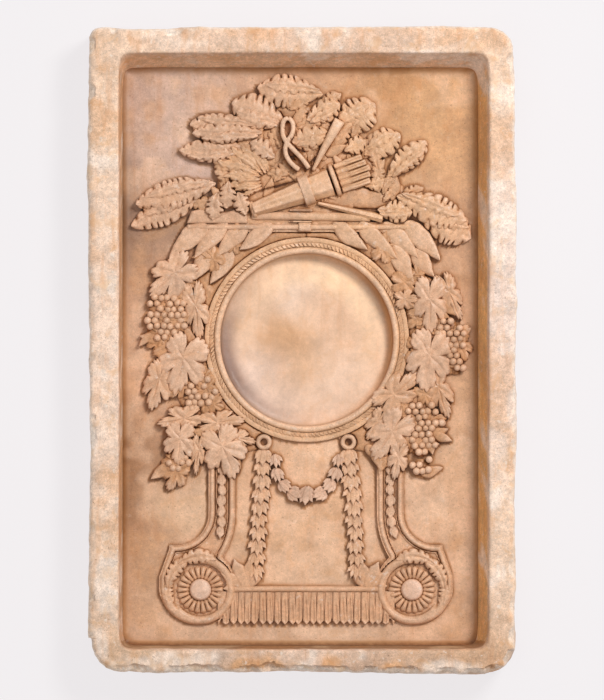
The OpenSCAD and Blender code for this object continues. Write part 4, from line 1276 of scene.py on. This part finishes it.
surface = np.full(map_size, 0.0)
clouds = {obj.name: raw_points(obj).astype(float) * 1000 for obj in PIECES}
for points in clouds.values():
    np.maximum.at(surface, cell_of(points), points[:, 2])
# Cells that no vertex fell in take the highest of their neighbours
for _ in range(2):
    shifted = [np.roll(surface, (a, b), (0, 1)) for a in (-1, 0, 1) for b in (-1, 0, 1)]
    surface = np.where(surface < 1, np.max(shifted, 0), surface)
near, middle, wide = blurred(surface, 1), blurred(surface, 4), blurred(surface, 14)
# Height of what stands towards the light, up and to the right, less what a ray to it climbs
shade = np.max([np.roll(surface, (-k, -k), (0, 1)) - 2.6 * k * MAP_CELL for k in (1, 2, 3)], axis=0)

# Ground colour, and stains: centre as shares of the floor's half width and half length, reach in mm, colour
STAINS = {
    "floor_plaster": ((222, 174, 137), (
        (-0.75, 0.85, 110, (204, 174, 158)), (-0.95, 0.50, 90, (124, 94, 76)),
        (-0.85, 0.05, 80, (212, 168, 136)), (-0.92, -0.42, 90, (142, 96, 58)),
        (0.0, 0.92, 80, (196, 152, 118)), (0.72, 0.82, 110, (204, 156, 110)),
        (0.88, 0.40, 90, (192, 150, 118)), (0.9, -0.2, 90, (206, 164, 130)),
        (-0.60, -0.52, 46, (246, 206, 170)), (0.45, 0.9, 40, (184, 132, 84)),
        (-0.55, 0.62, 40, (220, 190, 176)), (-0.9, 0.92, 40, (172, 138, 120)),
        (0.85, -0.75, 100, (212, 170, 138)), (0.0, -0.55, 130, (228, 184, 150)),
        (-0.55, -0.95, 90, (214, 176, 146)), (0.2, -0.97, 80, (216, 182, 154)),
        (0.62, -0.55, 50, (230, 188, 156)))),
    "dial_plaster": ((226, 188, 158), (
        (-0.08, 0.05, 30, (206, 154, 108)), (-0.02, -0.06, 24, (208, 158, 112)),
        (0.2, 0.1, 40, (226, 184, 152)), (0.02, 0.16, 24, (240, 210, 188)),
        (0.12, -0.1, 50, (228, 194, 170)), (-0.22, -0.10, 40, (236, 208, 192)))),
    "relief_plaster": ((216, 172, 138), (
        (-0.5, 0.65, 120, (206, 164, 134)), (0.4, 0.6, 110, (216, 170, 130)),
        (-0.75, 0.0, 110, (216, 170, 136)), (0.75, 0.0, 110, (204, 156, 120)),
        (0.0, -0.85, 140, (208, 160, 124)))),
    "bed_plaster": ((196, 146, 106), ()),
    "rim_plaster": ((232, 200, 174), (
        (-1.1, 0.0, 150, (238, 210, 190)), (1.1, 0.2, 150, (234, 212, 200)),
        (0.0, 1.1, 150, (220, 186, 162)), (0.0, -1.1, 160, (210, 178, 156)),
        (0.9, -1.1, 60, (192, 148, 110)), (-0.9, -1.1, 60, (206, 168, 134)),
        (0.45, -1.12, 34, (172, 128, 92)), (-0.35, -1.12, 26, (186, 146, 112)))),
}
# Pieces that have kept a colour of their own: start of the name, colour, share
TINTS = (("Vine_front", (216, 176, 148), 0.5), ("Grapes", (214, 172, 140), 0.4),
         ("Swag", (208, 170, 148), 0.6), ("Quiver", (222, 172, 126), 0.4),
         ("Laurel", (216, 174, 142), 0.4), ("Bezel", (222, 176, 134), 0.5),
         ("Scroll_chain", (212, 172, 144), 0.6), ("Torch", (220, 170, 122), 0.4),
         ("Oak_bed", (208, 164, 128), 0.6))
# Strength of the dirt and its painted shade on some pieces
GRIME_AND_SHADE = {"Plinth_tongues": 0.15, "Bezel_leaf_tips": 0.4, "Bezel": 0.6, "Plinth_rail": 0.6}


def tint(rgb):
    return np.array(srgb(*rgb)[:3])


def toward(colour, share, rgb):
    """Takes each point's colour part of the way to another."""
    return colour + np.asarray(share)[..., None] * (tint(rgb) - colour)


def stained(slot, x, y):
    """Ground colour of a slot with its stains."""
    base, stains = STAINS[slot]
    mid, half = (floor_low + floor_high) / 2, (floor_high - floor_low) / 2
    warp_x, warp_y = (p + 30 * value_noise(x, y, 70, seed) for p, seed in ((x, 201), (y, 202)))
    colour = np.zeros((len(x), 3)) + tint(base) * 0.2
    total = np.full(len(x), 0.2)
    for fx, fy, reach, rgb in stains:
        weight = bell(np.hypot(warp_x - mid[0] - fx * half[0], warp_y - mid[1] - fy * half[1]), reach)
        colour += weight[:, None] * tint(rgb)
        total += weight
    return colour / total[:, None]


def paint_rim(colour, x, y, z, pale_patch, dark_patch):
    """Brown inner walls, each side its own brown as painted light and shade, darker at their foot with dirt
    and painted shade, a patchy top and pale chips along the outer arris.
    """

    def beyond(across, along):
        """Where a point lies outside the floor by more than these distances."""
        return ((x < floor_low[0] - across) | (x > floor_high[0] + across)
                | (y < floor_low[1] - along) | (y > floor_high[1] + along))

    # Each inner wall gets its own brown, lighter or darker as it lies to the light: painted light and shade
    # over the shellac's colour
    past = (x - floor_high[0], y - floor_high[1], floor_low[1] - y)
    right, upper, lower = (smooth((d + 12) / 12) for d in past)
    shaded_brown = np.zeros_like(colour) + tint((206, 163, 127))
    for share, rgb in ((right, (238, 184, 122)), (upper, (232, 190, 155)), (lower, (190, 158, 136))):
        shaded_brown = toward(shaded_brown, share, rgb)
    inner = smooth((TOP_Z - 5 - z) / 10) * (~beyond(22, 26) & (z > FLOOR_Z - 4))
    colour = colour + inner[:, None] * (shaded_brown - colour)
    colour = toward(colour, 0.65 * pale_patch, (244, 226, 212))
    foot = 0.45 * smooth((floor_low[1] - 8 - y) / 16)
    colour = toward(colour, (0.45 + foot) * dark_patch, (214, 162, 116))
    outside = beyond(24, 30)
    chipped = 0.55 * outside * smooth((TOP_Z - 1.6 - z) / 2) * smooth((z - TOP_Z + 16) / 6)
    # Darker towards the foot of the inner walls and along the bottom wall: dirt with painted shade
    dirt = np.where(outside | (z > TOP_Z - 4), 0.0, 0.05 + 0.16 * smooth((FLOOR_Z + 14 - z) / 14))
    dirt = dirt + 0.35 * (inner > 0.5) * (y < floor_low[1] + 8)
    return toward(colour, chipped, (244, 230, 216)), dirt


def paint_dial(colour, x, y):
    """A mauve band inside the left edge, a brown band to the right painted as the recess wall's shadow,
    painted warm light on the ground above it, and dirt with painted shade along the edge.
    """
    edge = DIAL_R - np.hypot(x - DIAL[0], y - DIAL[1])
    around = np.degrees(np.arctan2(y - DIAL[1], x - DIAL[0]))

    def facing(angle, width):
        return bell((around - angle + 180) % 360 - 180, width)

    colour = toward(colour, smooth((31 - edge) / 24) * facing(196, 52), (148, 120, 108))
    # Painted shadow of the recess wall, in brown
    shaded_brown = smooth((13 - edge) / 9) * facing(18, 68)
    # Painted light: a paler, warmer ground where the cove is shaded
    painted_warm_light = smooth((60 - edge) / 30) * facing(62, 64) * (1 - shaded_brown)
    colour = toward(colour, 0.9 * painted_warm_light, (255, 216, 178))
    return toward(colour, 0.85 * shaded_brown, (198, 134, 78)), 0.2 * bell(edge, 2.5)


def paint(obj):
    slot = obj["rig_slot"]
    points = clouds[obj.name]
    x, y, z = points.T
    cell = cell_of(points)
    colour = stained(slot, x, y)
    # Darker in the hollows, under higher neighbours and on the side away from the light: dirt with painted
    # shade, and a painted shadow from the shade map
    dirt = (0.42 * np.clip((near[cell] - z - 0.5) / 3.2, 0, 1)
            + 0.20 * np.clip((middle[cell] - z - 0.8) / 7.0, 0, 1)
            + 0.10 * np.clip((wide[cell] - z - 2) / 30.0, 0, 1)
            + 0.60 * np.clip((shade[cell] - z) / 5.0, 0, 1))
    dirt *= GRIME_AND_SHADE.get(obj.name, 1.0) * (0.75 + 0.5 * value_noise(x, y, 34, 305))
    for start, rgb, share in TINTS:
        if obj.name.startswith(start):
            colour = toward(colour, share, rgb)
    slant = 0.8 * np.minimum(z - TOP_Z, 0) if slot == "rim_plaster" else 0
    patch = value_noise(x + slant, y + slant, 46, 301)
    patch = patch + 0.6 * value_noise(x - 1.3 * slant, y + slant, 17, 302)
    pale_patch, dark_patch = smooth((patch - 0.2) / 0.6), smooth((-patch - 0.2) / 0.6)
    if slot == "rim_plaster":
        colour, dirt = paint_rim(colour, x, y, z, pale_patch, dark_patch)
    elif slot == "floor_plaster":
        colour = toward(toward(colour, 0.4 * pale_patch, (236, 196, 164)), 0.4 * dark_patch, (196, 148, 106))
        wall, above = wall_distance(x, y), y - floor_low[1]
        # Darker along the foot of the walls and in the two lower corners: painted shade, with dirt
        dirt = np.where(wall < 26, 0.36 * bell(wall, 8.0) + 0.5 * bell(above, 5.0), dirt * 0.7)
        dirt += 0.7 * np.exp(-(np.minimum(x - floor_low[0], floor_high[0] - x) ** 2 + above ** 2) / 150)
    elif slot == "dial_plaster":
        colour, dirt = paint_dial(colour, x, y)
    else:
        # Painted highlight: the high places are made paler
        colour = toward(colour, 0.45 * np.clip((z - middle[cell] - 0.6) / 3.5, 0, 1), (238, 202, 176))
    if obj.name.startswith("Rosette"):
        eye, _ = circle_of(obj.name.lower())
        on_button = np.hypot(x - eye[0], y - eye[1]) < BUTTON_R - 0.3
        colour = toward(colour, on_button.astype(float), (226, 188, 164))
    if slot in ("floor_plaster", "dial_plaster"):
        # The back never met the shellac
        back = smooth((9 - z) / 6)
        colour = toward(colour, back, (226, 200, 174))
        dirt = dirt * (1 - back)
    rgba = np.column_stack([colour, np.ones(len(points))]).astype(np.float32)
    obj.data.attributes.new("tone", "FLOAT_COLOR", "POINT").data.foreach_set("color", rgba.ravel())
    # The dirt attribute carries painted shade and painted shadow as well as dirt
    grime_and_shade = np.clip(dirt, 0, 1).astype(np.float32)
    obj.data.attributes.new("dirt", "FLOAT", "POINT").data.foreach_set("value", grime_and_shade)


for obj in PIECES:
    paint(obj)


# ---- floor, light and camera ----

stage_mesh = bpy.data.meshes.new("studio_floor")
stage_mesh.from_pydata([(x, y, -0.0004) for x, y in ((-8, -8), (8, -8), (8, 8), (-8, 8))], [], [(0, 1, 2, 3)])
pale = Nodes("studio_floor")
for key, value in (("Base Color", (0.12, 0.118, 0.118, 1)), ("Emission Color", (0.86, 0.83, 0.845, 1)),
                   ("Emission Strength", 0.88), ("Roughness", 0.9)):
    pale.put(pale.shader.inputs[key], value)
stage_mesh.materials.append(pale.material)
new_object("studio_floor", stage_mesh)

middle_x, middle_y = (cad_box[0][0] + cad_box[1][0]) / 2, (cad_box[0][1] + cad_box[1][1]) / 2
# The camera looks straight down from far off, and the mould fills 650 of 700 parts of the view's height
FRAME_H = (cad_box[1][1] - cad_box[0][1]) * 700 / 650
DISTANCE = 8.0
cam_data = bpy.data.cameras.new("camera")
cam_data.sensor_width = 36
cam_data.lens = 36 * DISTANCE / FRAME_H
cam_data.clip_end = 60
camera = new_object("camera", cam_data)
camera.location = (middle_x, middle_y, cad_box[1][2] + DISTANCE)
bpy.context.scene.camera = camera


def area_light(name, place, size, power, colour):
    data = bpy.data.lights.new(name, "AREA")
    data.size = size
    data.energy = power
    data.color = colour
    light = new_object(name, data)
    light.location = place
    light.rotation_mode = "QUATERNION"
    light.rotation_quaternion = (Vector((middle_x, middle_y, 0)) - Vector(place)).to_track_quat("-Z", "Y")


area_light("key", (1.8, 1.85, 3.2), 1.0, 122, (1.0, 0.99, 0.97))
area_light("fill", (-1.4, -0.8, 4.6), 2.6, 34, (0.97, 0.98, 1.0))

scene = bpy.context.scene
scene.world = bpy.data.worlds.new("world")
scene.world.use_nodes = True
background = scene.world.node_tree.nodes["Background"]
background.inputs[0].default_value = (1.0, 0.99, 0.98, 1)
background.inputs[1].default_value = 0.43
scene.view_settings.view_transform = "Standard"
scene.view_settings.look = "None"
